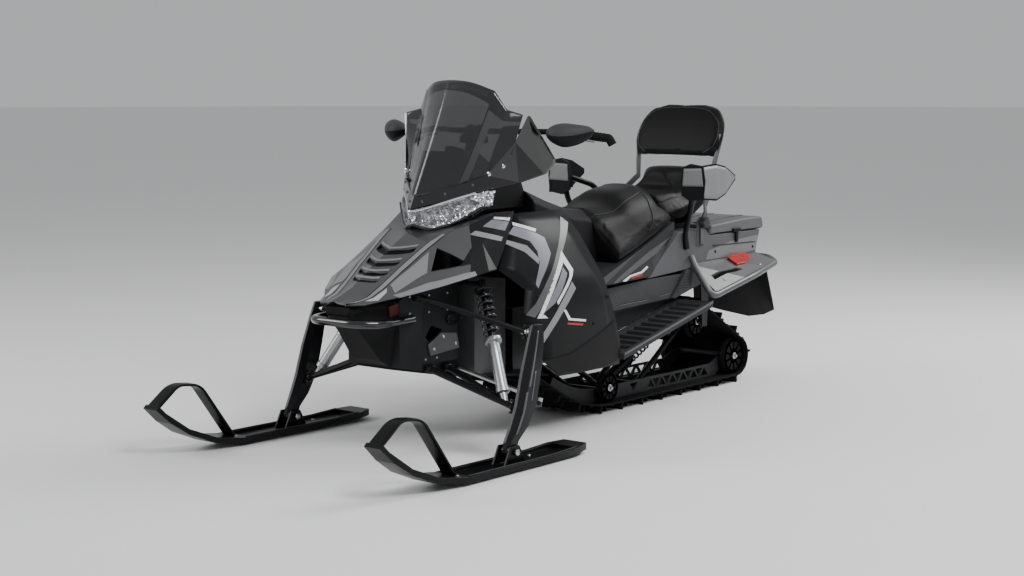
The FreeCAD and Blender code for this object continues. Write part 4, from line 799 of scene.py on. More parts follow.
@dataclass
class Studio:
    """Pale floor, soft light and the camera."""

    eye: Point = (5.8605, 4.5980, 1.3927)
    look: Point = (-0.7717, -0.6251, -0.1170)
    lens: float = 66.04
    floor_rings: tuple[float, ...] = (0.0001, 2.0, 6.0, 20.0, 60.0)
    sky: Colour = (0.97, 0.98, 1.0)
    sky_strength: float = 0.5
    aim: Point = (0.2, 0.0, 0.5)

    def build(self) -> None:
        """Makes the floor, the lights and the camera."""
        turn = np.linspace(0, 2 * np.pi, 96, endpoint=False)
        reach = np.array(self.floor_rings)[:, None, None] * 1000
        disc = np.stack([np.cos(turn), np.sin(turn), np.zeros_like(turn)], -1)[None] * reach
        sheet = grid(disc, around=True)
        mesh = bpy.data.meshes.new("floor")
        mesh.from_pydata((sheet.points * MM).tolist(), [], sheet.faces)
        mesh.materials.append(FLOOR.material())
        floor = bpy.data.objects.new("floor", mesh)
        bpy.context.scene.collection.objects.link(floor)
        world = bpy.data.worlds.new("studio")
        bpy.context.scene.world = world
        world.use_nodes = True
        background = world.node_tree.nodes["Background"]
        background.inputs["Color"].default_value = (*self.sky, 1.0)
        background.inputs["Strength"].default_value = self.sky_strength
        self._lamp("key", (2.0, 4.5, 5.0), 240.0, 2.2)
        self._lamp("rim", (-4.0, 2.0, 4.0), 220.0, 2.5)
        self._lamp("fill", (4.5, -4.0, 3.5), 170.0, 3.0)
        data = bpy.data.cameras.new("camera")
        data.lens = self.lens
        data.sensor_width = 36.0
        camera = bpy.data.objects.new("camera", data)
        bpy.context.scene.collection.objects.link(camera)
        camera.location = self.eye
        camera.rotation_mode = "QUATERNION"
        camera.rotation_quaternion = Vector(self.look).to_track_quat("-Z", "Y")
        bpy.context.scene.camera = camera

    def _lamp(self, name: str, place: Point, power: float, size: float) -> None:
        """Makes one soft panel of light, aimed at the middle of the machine.

        Args:
            name: The lamp's name.
            place: Where it stands, in metres.
            power: Its power in watts.
            size: The panel's width in metres.
        """
        data = bpy.data.lights.new(name, "AREA")
        data.energy = power
        data.size = size
        lamp = bpy.data.objects.new(name, data)
        bpy.context.scene.collection.objects.link(lamp)
        lamp.location = place
        lamp.rotation_mode = "QUATERNION"
        lamp.rotation_quaternion = (Vector(self.aim) - Vector(place)).to_track_quat("-Z", "Y")


@dataclass
class HoodTrim:
    """Ridges, louvre bars and facets whose pale greys are painted highlights, and the lips and stripes of the
    hood.
    """

    louvres: list[tuple[float, float, float]] = field(default_factory=lambda: [
        (1052.0, 60.0, 9.0), (1020.0, 68.0, 13.0), (975.0, 78.0, 18.0), (915.0, 90.0, 24.0)])
    louvre_sweep: float = 0.62
    ridge_inner: list[Flat] = field(default_factory=lambda: [
        (741, 128), (863, 107), (990, 88), (1120, 68), (1172, 52)])
    ridge_outer: list[Flat] = field(default_factory=lambda: [
        (752, 146), (857, 126), (989, 108), (1120, 84), (1168, 58)])
    stripes: list[Band] = field(default_factory=lambda: [
        ("hood_stripe_0", TRIM_WHITE, [(572, 847), (517, 843)], [(578, 840), (527, 832)]),
        ("hood_stripe_1", BAND_BLUE, [(584, 838), (531, 828)], [(627, 815), (566, 798)]),
        ("hood_stripe_2", GREY_TRIM_AND_HIGHLIGHT, [(657, 801), (584, 777)], [(688, 789), (598, 762)]),
        ("hood_stripe_3", GREY_TRIM_AND_HIGHLIGHT, [(1042, 597), (930, 636), (800, 664), (768, 668)],
         [(1036, 586), (935, 616), (805, 646), (770, 652)])])

    def build(self) -> None:
        """Lays every trim of the hood."""
        self._louvre_bars()
        self._top()
        self._flanks()

    def _louvre_bars(self) -> None:
        """Dark V band round each slot, and behind it a raised V bar whose pale grey is a painted highlight on its
        top edge, then a dark band that is the bar's painted shadow.

        Each leg of a V runs back by a fixed share of its reach to the side.
        """
        for number, (apex, wing, wide) in enumerate(self.louvres):
            reach = wing - 3.0
            for part, sign in (("left", 1.0), ("right", -1.0)):
                for name, finish, start, end, rise, thick in (
                        ("louvre_dark", TRIM_BLACK, apex + 5, apex - wide - 1, 0.7, 0.0),
                        # The bar's pale grey is a painted highlight on its top edge; the dark band after it is the
                        # bar's painted shadow.
                        ("louvre_highlight_bar", GREY_TRIM_AND_HIGHLIGHT, apex - wide - 1, apex - wide - 10, 3.4, 3.2),
                        ("louvre_shade", TRIM_BLACK, apex - wide - 10, apex - wide - 13, 0.7, 0.0)):
                    one = [(start, 0.0), (start - reach * self.louvre_sweep, sign * reach)]
                    two = [(end, 0.0), (end - reach * self.louvre_sweep, sign * reach)]
                    Strip(f"{name}_{number}", finish, one, two, "hood", rise, thick).lay(Ray.ABOVE, f"_{part}")

    def _top(self) -> None:
        """Ridges beside the louvres, their double lines, and the corner and side facets; the pale greys of the
        ridges and facets are painted highlights.
        """
        for part, sign in (("left", 1.0), ("right", -1.0)):
            one = [(x, y * sign) for x, y in self.ridge_inner]
            two = [(x, y * sign) for x, y in self.ridge_outer]
            # Pale grey ridge: a painted highlight along its top.
            Strip("hood_ridge_highlight", GREY_TRIM_AND_HIGHLIGHT, one, two, "hood", 1.6, 1.4).lay(Ray.ABOVE, f"_{part}")
            for number, shift in enumerate((-4.0, 2.0)):
                base = self.ridge_inner if shift < 0 else self.ridge_outer
                low = [(x, (y + shift) * sign) for x, y in base]
                high = [(x, (y + shift + 2.2) * sign) for x, y in base]
                Strip(f"hood_line_{number}", TRIM_BLACK, low, high, "hood", 0.8).lay(Ray.ABOVE, f"_{part}")
            # Pale corner facet and grey side facet: painted highlights of lit facets.
            corner = [(1122, 96 * sign), (1025, 114 * sign)]
            edge = [(1087, 128 * sign), (1046, 130 * sign)]
            Strip("corner_facet_highlight", FACET_HIGHLIGHT_PALE, corner, edge, "hood", 0.9).lay(Ray.ABOVE, f"_{part}")
            facet = [(838, 146 * sign), (1010, 116 * sign)]
            low = [(905, 196 * sign), (1032, 158 * sign)]
            Strip("side_facet_highlight", GREY_TRIM_AND_HIGHLIGHT, facet, low, "hood", 0.8).lay(Ray.ABOVE, f"_{part}")

    def _flanks(self) -> None:
        """The stripes that run back over the side panels, and the lip along the hood's edge."""
        for name, finish, one, two in self.stripes:
            for part, ray in SIDES:
                Strip(name, finish, one, two, "hood", 1.0).lay(ray, f"_{part}")


@dataclass
class SidePanels:
    """Side panels as smooth skins: heights with four (x, half width) points each, from front to rear."""

    rows: list[tuple[float, list[Flat]]] = field(default_factory=lambda: [
        (245.0, [(370, 372), (250, 385), (110, 385), (-10, 378)]),
        (323.0, [(492, 392), (350, 402), (150, 404), (5, 396)]),
        (390.0, [(511, 398), (370, 408), (190, 408), (30, 400)]),
        (500.0, [(612, 398), (430, 412), (200, 412), (75, 400)]),
        (590.0, [(575, 378), (420, 400), (240, 402), (100, 384)]),
        (664.0, [(655, 318), (480, 372), (300, 372), (125, 352)]),
        (770.0, [(572, 284), (470, 322), (350, 325), (165, 310)]),
        (856.0, [(490, 250), (430, 262), (340, 262), (200, 250)])])
    wall: float = 4.0

    def build(self) -> None:
        """Makes the left skin and its mirror image: straight rows from height to height, their corners cut."""
        table = np.array([[(x, y, z) for x, y in points] for z, points in self.rows], float)
        front = resampled(table[:, 0], 57)
        inner = cut_corners(table[:, 1:], 0.2, 3)
        inner = resampled(inner, 57)
        rows = np.concatenate([front[:, None], inner], axis=1)
        rows = np.swapaxes(cut_corners(np.swapaxes(rows, 0, 1), 0.22, 3), 0, 1)
        skin = grid(rows + (0.0, 1.0, 0.0))
        for part, shape in (("left", skin), ("right", skin.mirrored())):
            node = f"{part}_side_panel"
            made = piece(f"{node}_skin", shape, PANEL_DARK, node, (node,), closed=False,
                         sharp=40.0)
            faces_out(made, 1.0 if part == "left" else -1.0)
            wall = made.modifiers.new("Wall", "SOLIDIFY")
            wall.thickness = self.wall * MM
            wall.offset = -1.0


@dataclass
class PanelTrim:
    """Stripes, outlines, a satin grey band that is a painted highlight, and the lower cover of the side panels."""

    screws: list[Flat] = field(default_factory=lambda: [(200, 430), (520, 560), (100, 520)])
    strips: list[Band] = field(default_factory=lambda: [
        ("panel_white", TRIM_WHITE, [(512, 826), (420, 797)], [(516, 815), (432, 787)]),
        ("panel_blue", BAND_BLUE, [(514, 812), (434, 784), (396, 765), (393, 707), (510, 590)],
         [(552, 786), (480, 757), (462, 719), (470, 678), (516, 604)]),
        ("panel_grey", GREY_TRIM_AND_HIGHLIGHT, [(572, 766), (500, 742), (466, 694)], [(582, 752), (520, 720), (476, 673)]),
        # Satin grey band down the panel: a painted highlight.
        ("panel_satin", SATIN_GREY_AND_SHEEN, [(232, 830), (398, 668), (537, 537), (600, 502)],
         [(202, 806), (326, 703), (503, 524), (550, 487)]),
        ("outline_front", TRIM_WHITE, [(325, 713), (422, 619), (537, 484)],
         [(317, 690), (407, 608), (507, 492)]),
        ("outline_foot", TRIM_WHITE, [(537, 482), (477, 478)], [(512, 494), (498, 492)]),
        ("outline_rear", TRIM_WHITE, [(317, 690), (292, 641), (308, 620), (418, 521)],
         [(338, 670), (320, 636), (328, 619), (424, 533)]),
        ("outline_fill", BAND_BLUE, [(350, 654), (437, 569), (498, 501)],
         [(336, 630), (390, 570), (436, 528)]),
        ("panel_pale", GREY_TRIM_AND_HIGHLIGHT, [(321, 600), (404, 525), (540, 382)], [(305, 572), (385, 500), (510, 370)]),
        ("corner_mark", TRIM_WHITE, [(389, 500), (359, 458), (252, 442)],
         [(375, 500), (347, 465), (250, 450)]),
        ("corner_bar", TRIM_RED, [(364, 450), (268, 436)], [(366, 443), (270, 429)]),
        ("lower_cover", PLASTIC, [(472, 316), (335, 325), (167, 381), (60, 420)],
         [(378, 262), (250, 250), (100, 250), (2, 262)]),
        ("cover_line", TRIM_BLACK, [(480, 322), (335, 331), (167, 387), (60, 426)],
         [(472, 316), (335, 325), (167, 381), (60, 420)])])

    def build(self) -> None:
        """Lays every trim of both side panels."""
        for name, finish, one, two in self.strips:
            Strip(name, finish, one, two, "left_side_panel", 1.1).sides()
        for part, ray in SIDES:
            studs(f"panel_screws_{part}", self.screws, f"{part}_side_panel", ray, PLASTIC, 7.0)


@dataclass
class Lamp:
    """Headlamp: clear skin, reflector bowls and the bright bar over it."""

    lines: list[tuple[Point, Point]] = field(default_factory=lambda: [
        ((770, 0, 822), (775, 0, 872)), ((733, 60, 806), (722, 60, 890)),
        ((672, 130, 832), (655, 130, 915)),
        ((608, 200, 886), (590, 200, 940))])
    bowls: tuple[tuple[float, ...], ...] = (  # y, x and z of the rim's centre, and its radius
        (38, 722, 842, 24), (92, 680, 856, 27), (148, 628, 884, 24))
    aim: Point = (0.86, 0.48, 0.05)

    def build(self) -> None:
        """Makes the lens, the bowls and the bar."""
        half = np.asarray(self.lines, float)
        both = np.concatenate([half[:0:-1] * (1, -1, 1), half])
        across = curved(both, 61)
        share = np.linspace(0, 1, 13)[:, None]
        sheet = across[:, None, 0] * (1 - share) + across[:, None, 1] * share
        sheet[..., 0] += 5.0 * np.sin(np.pi * share[:, 0])[None] - 2.0
        piece("lens_skin", grid(sheet), CLEAR, "headlamp_lens", ("headlamp_lens",), closed=False,
              thick=3.0)
        bowls, cores = [], []
        aim = np.array(self.aim)
        for y, x, z, size in self.bowls:
            place = np.array((x, y, z), float) - aim * 20
            bowl = turned([(0, 3), (1, size * 0.45), (7, size * 0.8), (15, size), (17, size + 2), (15, size + 3),
                           (5, size * 0.84), (-2, size * 0.4), (-2, 0.01)], place, place + aim, 8)
            bowls.append(bowl)
            cores.append(turned([(1, 6), (8, 5), (11, 3), (12, 0.01)], place, place + aim, 16))
        # The bowls' light and dark cells are painted glints.
        piece("lamp_bowls", joined(bowls).both(), CRYSTAL, "headlamp_housing", sharp=20.0)
        piece("lamp_cores", joined(cores).both(), FILAMENT, "headlamp_housing")
        bar = [(612, 178, 938), (690, 90, 903), (742, 38, 880), (774, 0, 872), (742, -38, 880), (690, -90, 903),
               (612, -178, 938)]
        rim = [(608, 200, 884), (672, 131, 830), (733, 61, 804), (770, 0, 820), (733, -61, 804), (672, -131, 830),
               (608, -200, 884)]
        piece("lamp_rim", swept(curved(rim, 60) + (1.0, 0.0, -2.0), 4.0, 10), GLOSS, "headlamp_housing")
        piece("lamp_bar", swept(curved(bar, 60) + (3.0, 0.0, -4.0), 5.0, 10), CHROME, "headlamp_housing")


@dataclass
class Screen:
    """Windshield with its creases, its dark top band and the cowl's screws; the pale strips along the creases and
    the grey strip in the band are painted reflections.
    """

    lines: list[tuple[Point, Point, Point]] = field(default_factory=lambda: [
        ((751, 0, 921), (660, 0, 1104), (539, 0, 1342)),
        ((703, 60, 938), (622, 74, 1110), (528, 90, 1334)),
        ((647, 116, 957), (572, 140, 1110), (490, 166, 1304)),
        ((582, 180, 990), (530, 196, 1110), (472, 212, 1234)),
        ((502, 262, 1076), (490, 272, 1140), (472, 286, 1218))])

    def _sheet(self, across: np.ndarray, climb: np.ndarray, lift: float = 0.0) -> np.ndarray:
        """Points of the sheet: a smooth curve across the middle five lines, straight between the outer ones, and a
        parabola through each line's points.

        Args:
            across: Line numbers, with the middle at 0 and the right-hand side below it.
            climb: Shares of the height from 0 to 1.
            lift: Distance in front of the sheet.

        Returns:
            The grid of points.
        """
        half = np.asarray(self.lines, float)
        both = np.concatenate([half[:0:-1] * (1, -1, 1), half])
        outer, inner = resampled(both[:3], 33)[:-1], curved(both[2:7], 65)
        dense = np.concatenate([outer, inner, resampled(both[6:], 33)[1:]])
        number = (across + 4) * 16
        low = np.clip(np.floor(number).astype(int), 0, 127)
        share = (number - low)[:, None, None]
        line = dense[low] * (1 - share) + dense[low + 1] * share
        t = climb[None, :, None]
        foot, middle, top = line[:, None, 0], line[:, None, 1], line[:, None, 2]
        points = foot * (1 - t) * (1 - 2 * t) + middle * 4 * t * (1 - t) + top * t * (2 * t - 1)
        return points + np.array((lift, 0.0, lift * 0.4))

    def build(self) -> None:
        """Makes the sheet, its bands and creases, the pale strips beside the creases that are painted reflections,
        and the cowl's screws.
        """
        number = np.linspace(-4, 4, 97)
        climb = np.linspace(0, 1, 33)
        piece("screen_sheet", grid(self._sheet(number, climb)), SMOKE, "windshield", ("windshield",),
              closed=False, sharp=16.0, thick=3.6)
        self._bands()
        # The pale strips beside the creases are painted reflections, light grey on the left and near white on the
        # right.
        for part, sign, finish, reach in (("left", 1.0, CREASE_SHEEN_GREY, 2.42), ("right", -1.0, CREASE_GLARE_WHITE, 2.26)):
            strip = self._sheet(sign * np.linspace(2.04, reach, 9), np.linspace(0.03, 0.93, 29), 1.2)
            piece(f"screen_sheen_strip_{part}", grid(strip), finish, "windshield", closed=False)
            edge = self._sheet(np.array((sign * 2.0, sign * 2.0)), np.linspace(0.02, 0.98, 40), 0.8)[0]
            piece(f"screen_crease_{part}", swept(edge, 2.4, 8), TRIM_BLACK, "windshield")
        places = [(y * sign, z) for y, z in ((30, 902), (92, 930), (165, 962)) for sign in (1, -1)]
        studs("cowl_screws", places, "windshield_cowl", Ray.FRONT, SILVER_PAINT, 6.0)
        places = [(y * sign, z) for y, z in ((205, 1002), (238, 1030)) for sign in (1, -1)]
        studs("cowl_bolts", places, "windshield_cowl", Ray.FRONT, CHROME, 9.0)

    def _bands(self) -> None:
        """Black band along the top that widens to each side, a grey strip in it that is a painted reflection, and
        the dark lower wings.
        """
        across = np.linspace(-2.0, 2.0, 65)
        foot = 0.93 - 0.012 * np.abs(across) ** 2
        share = np.linspace(0, 1, 9)[None]
        climb = foot[:, None] * (1 - share) + 0.999 * share
        rows = [self._sheet(across[i:i + 1], climb[i], 1.4)[0] for i in range(len(across))]
        piece("screen_band", grid(np.array(rows)), SMOKE_DARK, "windshield", closed=False, sharp=9.0)
        # Grey strip in the black band: a painted reflection.
        strip = self._sheet(np.linspace(0.1, 1.8, 24), np.linspace(0.94, 0.972, 4), 2.0)
        piece("screen_band_strip", grid(strip), SATIN_GREY_AND_SHEEN, "windshield", closed=False)
        for part, sign in (("left", 1.0), ("right", -1.0)):
            wing = self._sheet(sign * np.linspace(2.02, 4.0, 33), np.linspace(0.84, 0.998, 9), 1.4)
            piece(f"screen_wing_{part}", grid(wing), SMOKE_DARK, "windshield", closed=False)
            outer = self._sheet(sign * np.linspace(3.1, 4.0, 17), np.linspace(0.03, 0.76, 9), 1.2)
            piece(f"screen_outer_{part}", grid(outer), SMOKE_DARK, "windshield", closed=False)


@dataclass
class Cockpit:
    """Handlebar, grips, hand pods, clamp, dash dial and console trim."""

    bar: list[Point] = field(default_factory=lambda: [
        (190, 470, 1128), (260, 300, 1150), (405, 110, 1152), (405, -110, 1152), (260, -300, 1150),
        (190, -470, 1128)])
    bar_radius: float = 11.0
    pod: list[tuple[float, float, float, float, float]] = field(default_factory=lambda: [
        (346.0, 404.0, 1150.0, 10.0, 10.0), (360.0, 408.0, 1149.0, 24.0, 26.0), (385.0, 409.0, 1147.0, 36.0, 43.0),
        (420.0, 399.0, 1144.0, 42.0, 54.0), (460.0, 376.0, 1146.0, 37.0, 46.0), (490.0, 352.0, 1153.0, 25.0, 30.0),
        (505.0, 340.0, 1158.0, 10.0, 12.0)])

    def build(self) -> None:
        """Makes the bar and all that it carries, and dresses the dash."""
        piece("bar_tube", swept(rounded(self.bar, 55), self.bar_radius, 20), SATIN_TUBE, "handlebar",
              ("handlebar",))
        elbow, end = np.array(self.bar[1], float), np.array(self.bar[0], float)
        start = elbow + (end - elbow) * 0.3
        straight = resampled(np.stack([start, end - (end - start) * 0.12]), 30)
        bent = rounded([tuple(end - (end - start) * 0.1), tuple(end), tuple(end + (-6, 12, -24))], 16)
        hook = np.concatenate([straight, bent])
        radii = np.full(len(hook), 16.5)
        radii[:30] += 0.9 * np.sign(np.sin(np.arange(30) * 2.1))
        radii[0] = 19.0
        piece("grip_sleeves", swept(hook, radii, 20).both(), RUBBER, "bar_grips", ("bar_grips",))
        self._pods()
        lever = [(300, 262, 1146), (286, 312, 1138), (262, 380, 1126), (240, 440, 1116)]
        levers = swept(curved(lever, 40), np.linspace(6.0, 4.2, 40), 10, 1.4)
        piece("hand_levers", levers.both(), SILVER, "handlebar")
        self._clamp()
        start, toward = (512, 0, 1066), (494, 0, 1102)
        rim = turned([(0, 46), (4, 50), (9, 50), (10, 46), (6, 43), (6, 0.01)], start, toward, 40)
        piece("dash_dial", rim, GLOSS, "dash")
        ring = turned([(9, 50), (12, 51), (14, 47), (9, 46)], start, toward, 40)
        piece("dial_ring", ring, SILVER, "dash")
        for number, x in enumerate((260.0, 190.0, 120.0)):
            slot_one = [(x, 120.0), (x - 40.0, 60.0)]
            slot_two = [(x - 14.0, 120.0), (x - 54.0, 60.0)]
            Strip(f"console_slot_{number}", TRIM_BLACK, slot_one, slot_two, "console", 0.8).lay(Ray.ABOVE)

    def _clamp(self) -> None:
        """Two clamp rings on the bar with their caps, and the pad over them."""
        rings = [turned([(0, 16), (1, 18), (15, 18), (16, 16)], (405, y, 1152), (405, y + 10, 1152), 24)
                 for y in (-34, 18)]
        caps = [turned([(0, 9), (9, 9), (10, 7)], (405, y, 1168), (405, y, 1178), 16) for y in (-22, 22)]
        piece("bar_clamp", joined(rings + caps), SILVER, "handlebar")
        pad = [(-58, 10), (-44, 24), (44, 24), (58, 10), (58, -12), (-58, -12)]
        boxed = plate([(y, z + 1118) for y, z in pad], 0, 396, 432)
        piece("bar_pad", boxed, GRAINED, "handlebar", bevel=5.0)

    def _pods(self) -> None:
        """Teardrop pods: rings with a fold at the front, in a lighter upper and a darker lower half."""
        path = curved(np.asarray(self.pod), 33)
        for name, finish, first, last, grow in (("upper", PLASTIC_GREY, -0.02, 1.02, 1.0),
                                                ("lower", PLASTIC, 1.0, 2.0, 0.99)):
            turn = np.linspace(first * np.pi, last * np.pi, 25)[None]
            y, x, z, deep, tall = (path[:, column, None] for column in range(5))
            wide = np.sign(np.cos(turn)) * np.abs(np.cos(turn)) ** 1.15 * deep * grow
            high = np.sin(turn) * tall * 0.82 * grow
            rings = np.stack([x + wide * np.ones_like(high), y + 0 * high, z + high], -1)
            shape = grid(rings, around=True, capped=True)
            stands_for = ("hand_pods",) if name == "upper" else ()
            piece(f"pod_{name}", shape.both(), finish, "hand_pods", stands_for, sharp=50.0)
        arm = swept(np.array([(228.0, 362.0, 1143.0), (300.0, 372.0, 1145.0), (388.0, 385.0, 1146.0)]), 8.0, 12)
        piece("pod_arms", arm.both(), SATIN_TUBE, "hand_pods")


@dataclass
class FrontSuspension:
    """Arms, shocks with their springs, spindle trim and tie rods."""

    ball_top: Point = (722.0, 497.0, 462.0)
    ball_low: Point = (800.0, 503.0, 205.0)
    arm_ball: Point = (697.0, 538.0, 222.0)
    shock_top: Point = (668.0, 252.0, 609.0)
    shock_low: Point = (797.0, 462.0, 226.0)
    sleeve_y: float = 179.2

    def build(self) -> None:
        """Makes the pieces of both sides."""
        top, low = np.array(self.ball_top), np.array(self.ball_low)
        kingpin = (top - low) / np.linalg.norm(top - low)
        upper = self._arm((937, self.sleeve_y, 584), top, 10.0, kingpin, 13.0)
        upper = upper.plus(self._sleeve(917, 957, 584))
        piece("upper_arm_tubes", upper.both(), SATIN_TUBE, "upper_arms", ("upper_arms",))
        profile = [(-20, 7), (-18, 9), (-10, 9), (-9, 12), (9, 12), (10, 9), (18, 9), (20, 7)]
        pin = turned(profile, tuple(top + (0, 2, 0)), (top[0], top[1] + 30, top[2] + 2), 20)
        piece("upper_joint_pins", pin.both(), STEEL, "upper_arms")
        lower = self._arm((870, self.sleeve_y, 316), low, 12.5, kingpin, 15.0)
        lower = lower.plus(self._arm((778, self.sleeve_y, 312), low, 11.0, kingpin, 14.0),
                           self._sleeve(850, 890, 316), self._sleeve(762, 800, 312))
        piece("lower_arm_tubes", lower.both(), SATIN_TUBE, "lower_arms", ("lower_arms",))
        self._shocks()
        self._rods(kingpin)
        self._spindle_trim()

    def _sleeve(self, low: float, high: float, height: float) -> Shell:
        """Sleeve of an arm's pivot: a tube along the machine with its edges broken by 2 mm.

        Args:
            low: Where it starts, along the machine.
            high: Where it ends.
            height: The height of its axis.

        Returns:
            The sleeve of the left side.
        """
        length = high - low
        profile = [(0, 14), (2, 15), (length - 2, 15), (length, 14)]
        return turned(profile, (low, self.sleeve_y, height), (high, self.sleeve_y, height))

    def _arm(self, start: Point, end: np.ndarray, radius: float, kingpin: np.ndarray, ball: float) -> Shell:
        """Tube of one arm that narrows toward its ball, with the ball's ring and nut.

        Args:
            start: The tube's end at the sleeve.
            end: The ball's centre.
            radius: The tube's radius.
            kingpin: The direction of the kingpin.
            ball: The ball's radius.

        Returns:
            The arm of the left side.
        """
        share = np.linspace(0, 1, 12)
        path = np.asarray(start, float) * (1 - share[:, None]) + end * share[:, None]
        sizes = radius * (1.06 - 0.16 * share)
        turn = np.linspace(-1.1, 1.1, 9)
        ring = [(ball * math.sin(t), ball * math.cos(t)) for t in turn]
        cap = [(-ball * 0.9, 5.0), (-ball * 1.3, 8.0), (-ball * 1.6, 8.0), (-ball * 1.6, 0.01)]
        nuts = turned(cap, tuple(end), tuple(end + kingpin), 6)
        return swept(path, sizes, 16).plus(turned(ring, tuple(end), tuple(end + kingpin), 20), nuts)

    def _shocks(self) -> None:
        """Dampers turned round their line, and springs wound as helices of even pitch."""
        top, low = np.array(self.shock_top), np.array(self.shock_low)
        length = float(np.linalg.norm(low - top))
        profile = [(-14, 8), (-14, 14), (12, 14), (14, 12), (length * 0.04, 12), (length * 0.045, 32),
                   (length * 0.06, 33), (length * 0.07, 30), (length * 0.08, 13), (length * 0.47, 13),
                   (length * 0.475, 20)]
        piece("shock_rods", turned(profile, tuple(top), tuple(low), 32).both(), SPINDLE, "front_shocks",
              ("front_shocks",))
        body = [(length * 0.475, 20), (length * 0.48, 31), (length * 0.5, 33), (length * 0.515, 31),
                (length * 0.52, 23)]
        body += [(length * share, 22.5 if step % 2 else 21.3) for step, share in
                 enumerate(np.linspace(0.53, 0.62, 9))]
        body += [(length * 0.63, 21), (length * 0.9, 21), (length * 0.905, 24), (length * 0.94, 24),
                 (length * 0.95, 14), (length + 10, 12)]
        piece("shock_bodies", turned(body, tuple(top), tuple(low), 32).both(), SILVER, "front_shocks")
        turns = 6.5
        share = np.linspace(0.0, 1.0, 240)
        swing = 2 * np.pi * turns * share
        axis = (low - top) / length
        across = np.cross(axis, (1.0, 0.0, 0.0))
        across /= np.linalg.norm(across)
        upright = np.cross(axis, across)
        along = length * (0.085 + 0.385 * share)
        coil = across * np.cos(swing)[:, None] + upright * np.sin(swing)[:, None]
        path = top + axis * along[:, None] + 27.0 * coil
        piece("spring_wires", swept(path, 4.6, 10).both(), GLOSS, "front_springs", ("front_springs",))

    def _rods(self, kingpin: np.ndarray) -> None:
        """Tie rods with their eyes and lock nuts.

        Args:
            kingpin: The direction of the kingpin, round which the eye turns.
        """
        ball = np.array(self.arm_ball)
        end = np.array((700.0, 165.0, 299.0))
        start = ball + (0, -8, 1)
        share = np.linspace(0, 1, 14)[:, None]
        path = start * (1 - share) + end * share
        sizes = np.full(14, 8.0)
        sizes[:2] = 6.0
        sizes[2] = 9.5
        eye = turned([(-8, 11), (-7, 14), (5, 14), (6, 11)], tuple(ball), tuple(ball + kingpin), 24)
        rod = swept(path, sizes, 14).plus(eye)
        piece("tie_rod_left", rod, STEEL, "left_tie_rod", ("left_tie_rod",))
        piece("tie_rod_right", rod.mirrored(), STEEL, "right_tie_rod", ("right_tie_rod",))

    def _spindle_trim(self) -> None:
        """Pale ribs down the spindles' outer faces, and their bolts."""
        ribs = [
            ([(716, 470), (742, 380), (776, 280)], [(722, 470), (750, 380), (786, 280)]),
            ([(790, 262), (812, 190), (846, 120)], [(798, 262), (822, 190), (856, 120)]),
            ([(742, 330), (768, 230)], [(747, 330), (774, 230)]),
        ]
        for number, (one, two) in enumerate(ribs):
            Strip(f"spindle_rib_{number}", SILVER_PAINT, one, two, "left_spindle", 1.2, 1.0).sides()
        bolt = [(0, 13), (6, 13), (7, 11), (8, 7), (5, 6), (5, 0.01)]
        for part, sign in (("left", 1.0), ("right", -1.0)):
            for name, y, reach in (("outer", 576.5 * sign, sign), ("inner", 503.5 * sign, -sign)):
                head = turned(bolt, (870, y, 62), (870, y + reach * 10, 62), 6)
                piece(f"ski_bolt_{name}_{part}", head, STEEL, f"{part}_ski", bevel=0.8)


@dataclass
class Skis:
    """Loops, ribs and screws of the skis."""

    stance: float = 540.0

    def build(self) -> None:
        """Makes the pieces of both skis."""
        path = rounded([(1186, self.stance, 36), (1345, self.stance, 246), (1447, self.stance, 258),
                        (1548, self.stance, 186)], 34)
        width = np.interp(np.linspace(0, 1, len(path)), (0, 0.3, 0.7, 1), (30, 27, 26, 31))
        loop = swept(path, width, 24, 0.2, 5.0)
        for part, shape in (("left", loop), ("right", loop.mirrored())):
            piece(f"ski_handle_{part}", shape, SKI, f"{part}_ski_loop", (f"{part}_ski_loop",))
        for part, sign in (("left", 1.0), ("right", -1.0)):
            for number, shift in enumerate((-66.0, 60.0)):
                one = [(560, (self.stance + shift) * sign), (1160, (self.stance + shift) * sign)]
                two = [(560, (self.stance + shift + 6) * sign), (1160, (self.stance + shift + 6) * sign)]
                rib = Strip(f"ski_rib_{number}", PLASTIC_GREY, one, two, f"{part}_ski", 3.0, 3.0)
                rib.lay(Ray.ABOVE, f"_{part}")
            places = [(x, (self.stance + y) * sign) for x in (720, 1180) for y in (-30, 30)]
            studs(f"ski_screws_{part}", places, f"{part}_ski", Ray.ABOVE, STEEL, 6.5)


@dataclass
class Nose:
    """Bumper tube, bulkhead rivets, ring, casting and the small oxide bracket."""

    tube: list[Point] = field(default_factory=lambda: [
        (931, 151, 500), (1100, 160, 498), (1176, 100, 502), (1176, -100, 502), (1100, -160, 498),
        (931, -151, 500)])

    def build(self) -> None:
        """Makes the nose's pieces."""
        piece("bumper_tube", swept(rounded(self.tube, 42), 15.0, 24), GLOSS, "front_bumper", ("front_bumper",))
        rivets = [(x, z) for x in (700, 760, 860, 940) for z in (580, 520)] + [(820, 350), (880, 350), (860, 450)]
        studs("bulkhead_rivets_left", rivets, "bulkhead", Ray.LEFT, STEEL, 4.5)
        studs("bulkhead_rivets_right", rivets, "bulkhead", Ray.RIGHT, STEEL, 4.5)
        turn = np.linspace(0, 2 * np.pi, 48, endpoint=False)
        ring = np.stack([728 + 40 * np.cos(turn), 172 + 4 * np.sin(turn), 486 + 17 * np.sin(turn)], -1)
        piece("hook_rings", swept(ring, 5.0, 10, closed=True).both(), SATIN_TUBE, "bulkhead")
        casting = plate([(700, 372), (860, 360), (872, 402), (800, 440), (716, 430)], 1, 165.5, 173)
        piece("arm_castings", casting.both(), CASTING, "bulkhead", bevel=2.5)
        studs("casting_bolts", [(722, 392), (842, 384), (790, 424)], "arm_castings", Ray.LEFT, STEEL, 6.0)
        bracket = plate([(968, 520), (1012, 512), (1022, 552), (975, 562)], 1, 112, 124)
        piece("oxide_brackets", bracket.both(), OXIDE, "bulkhead", bevel=2.0)


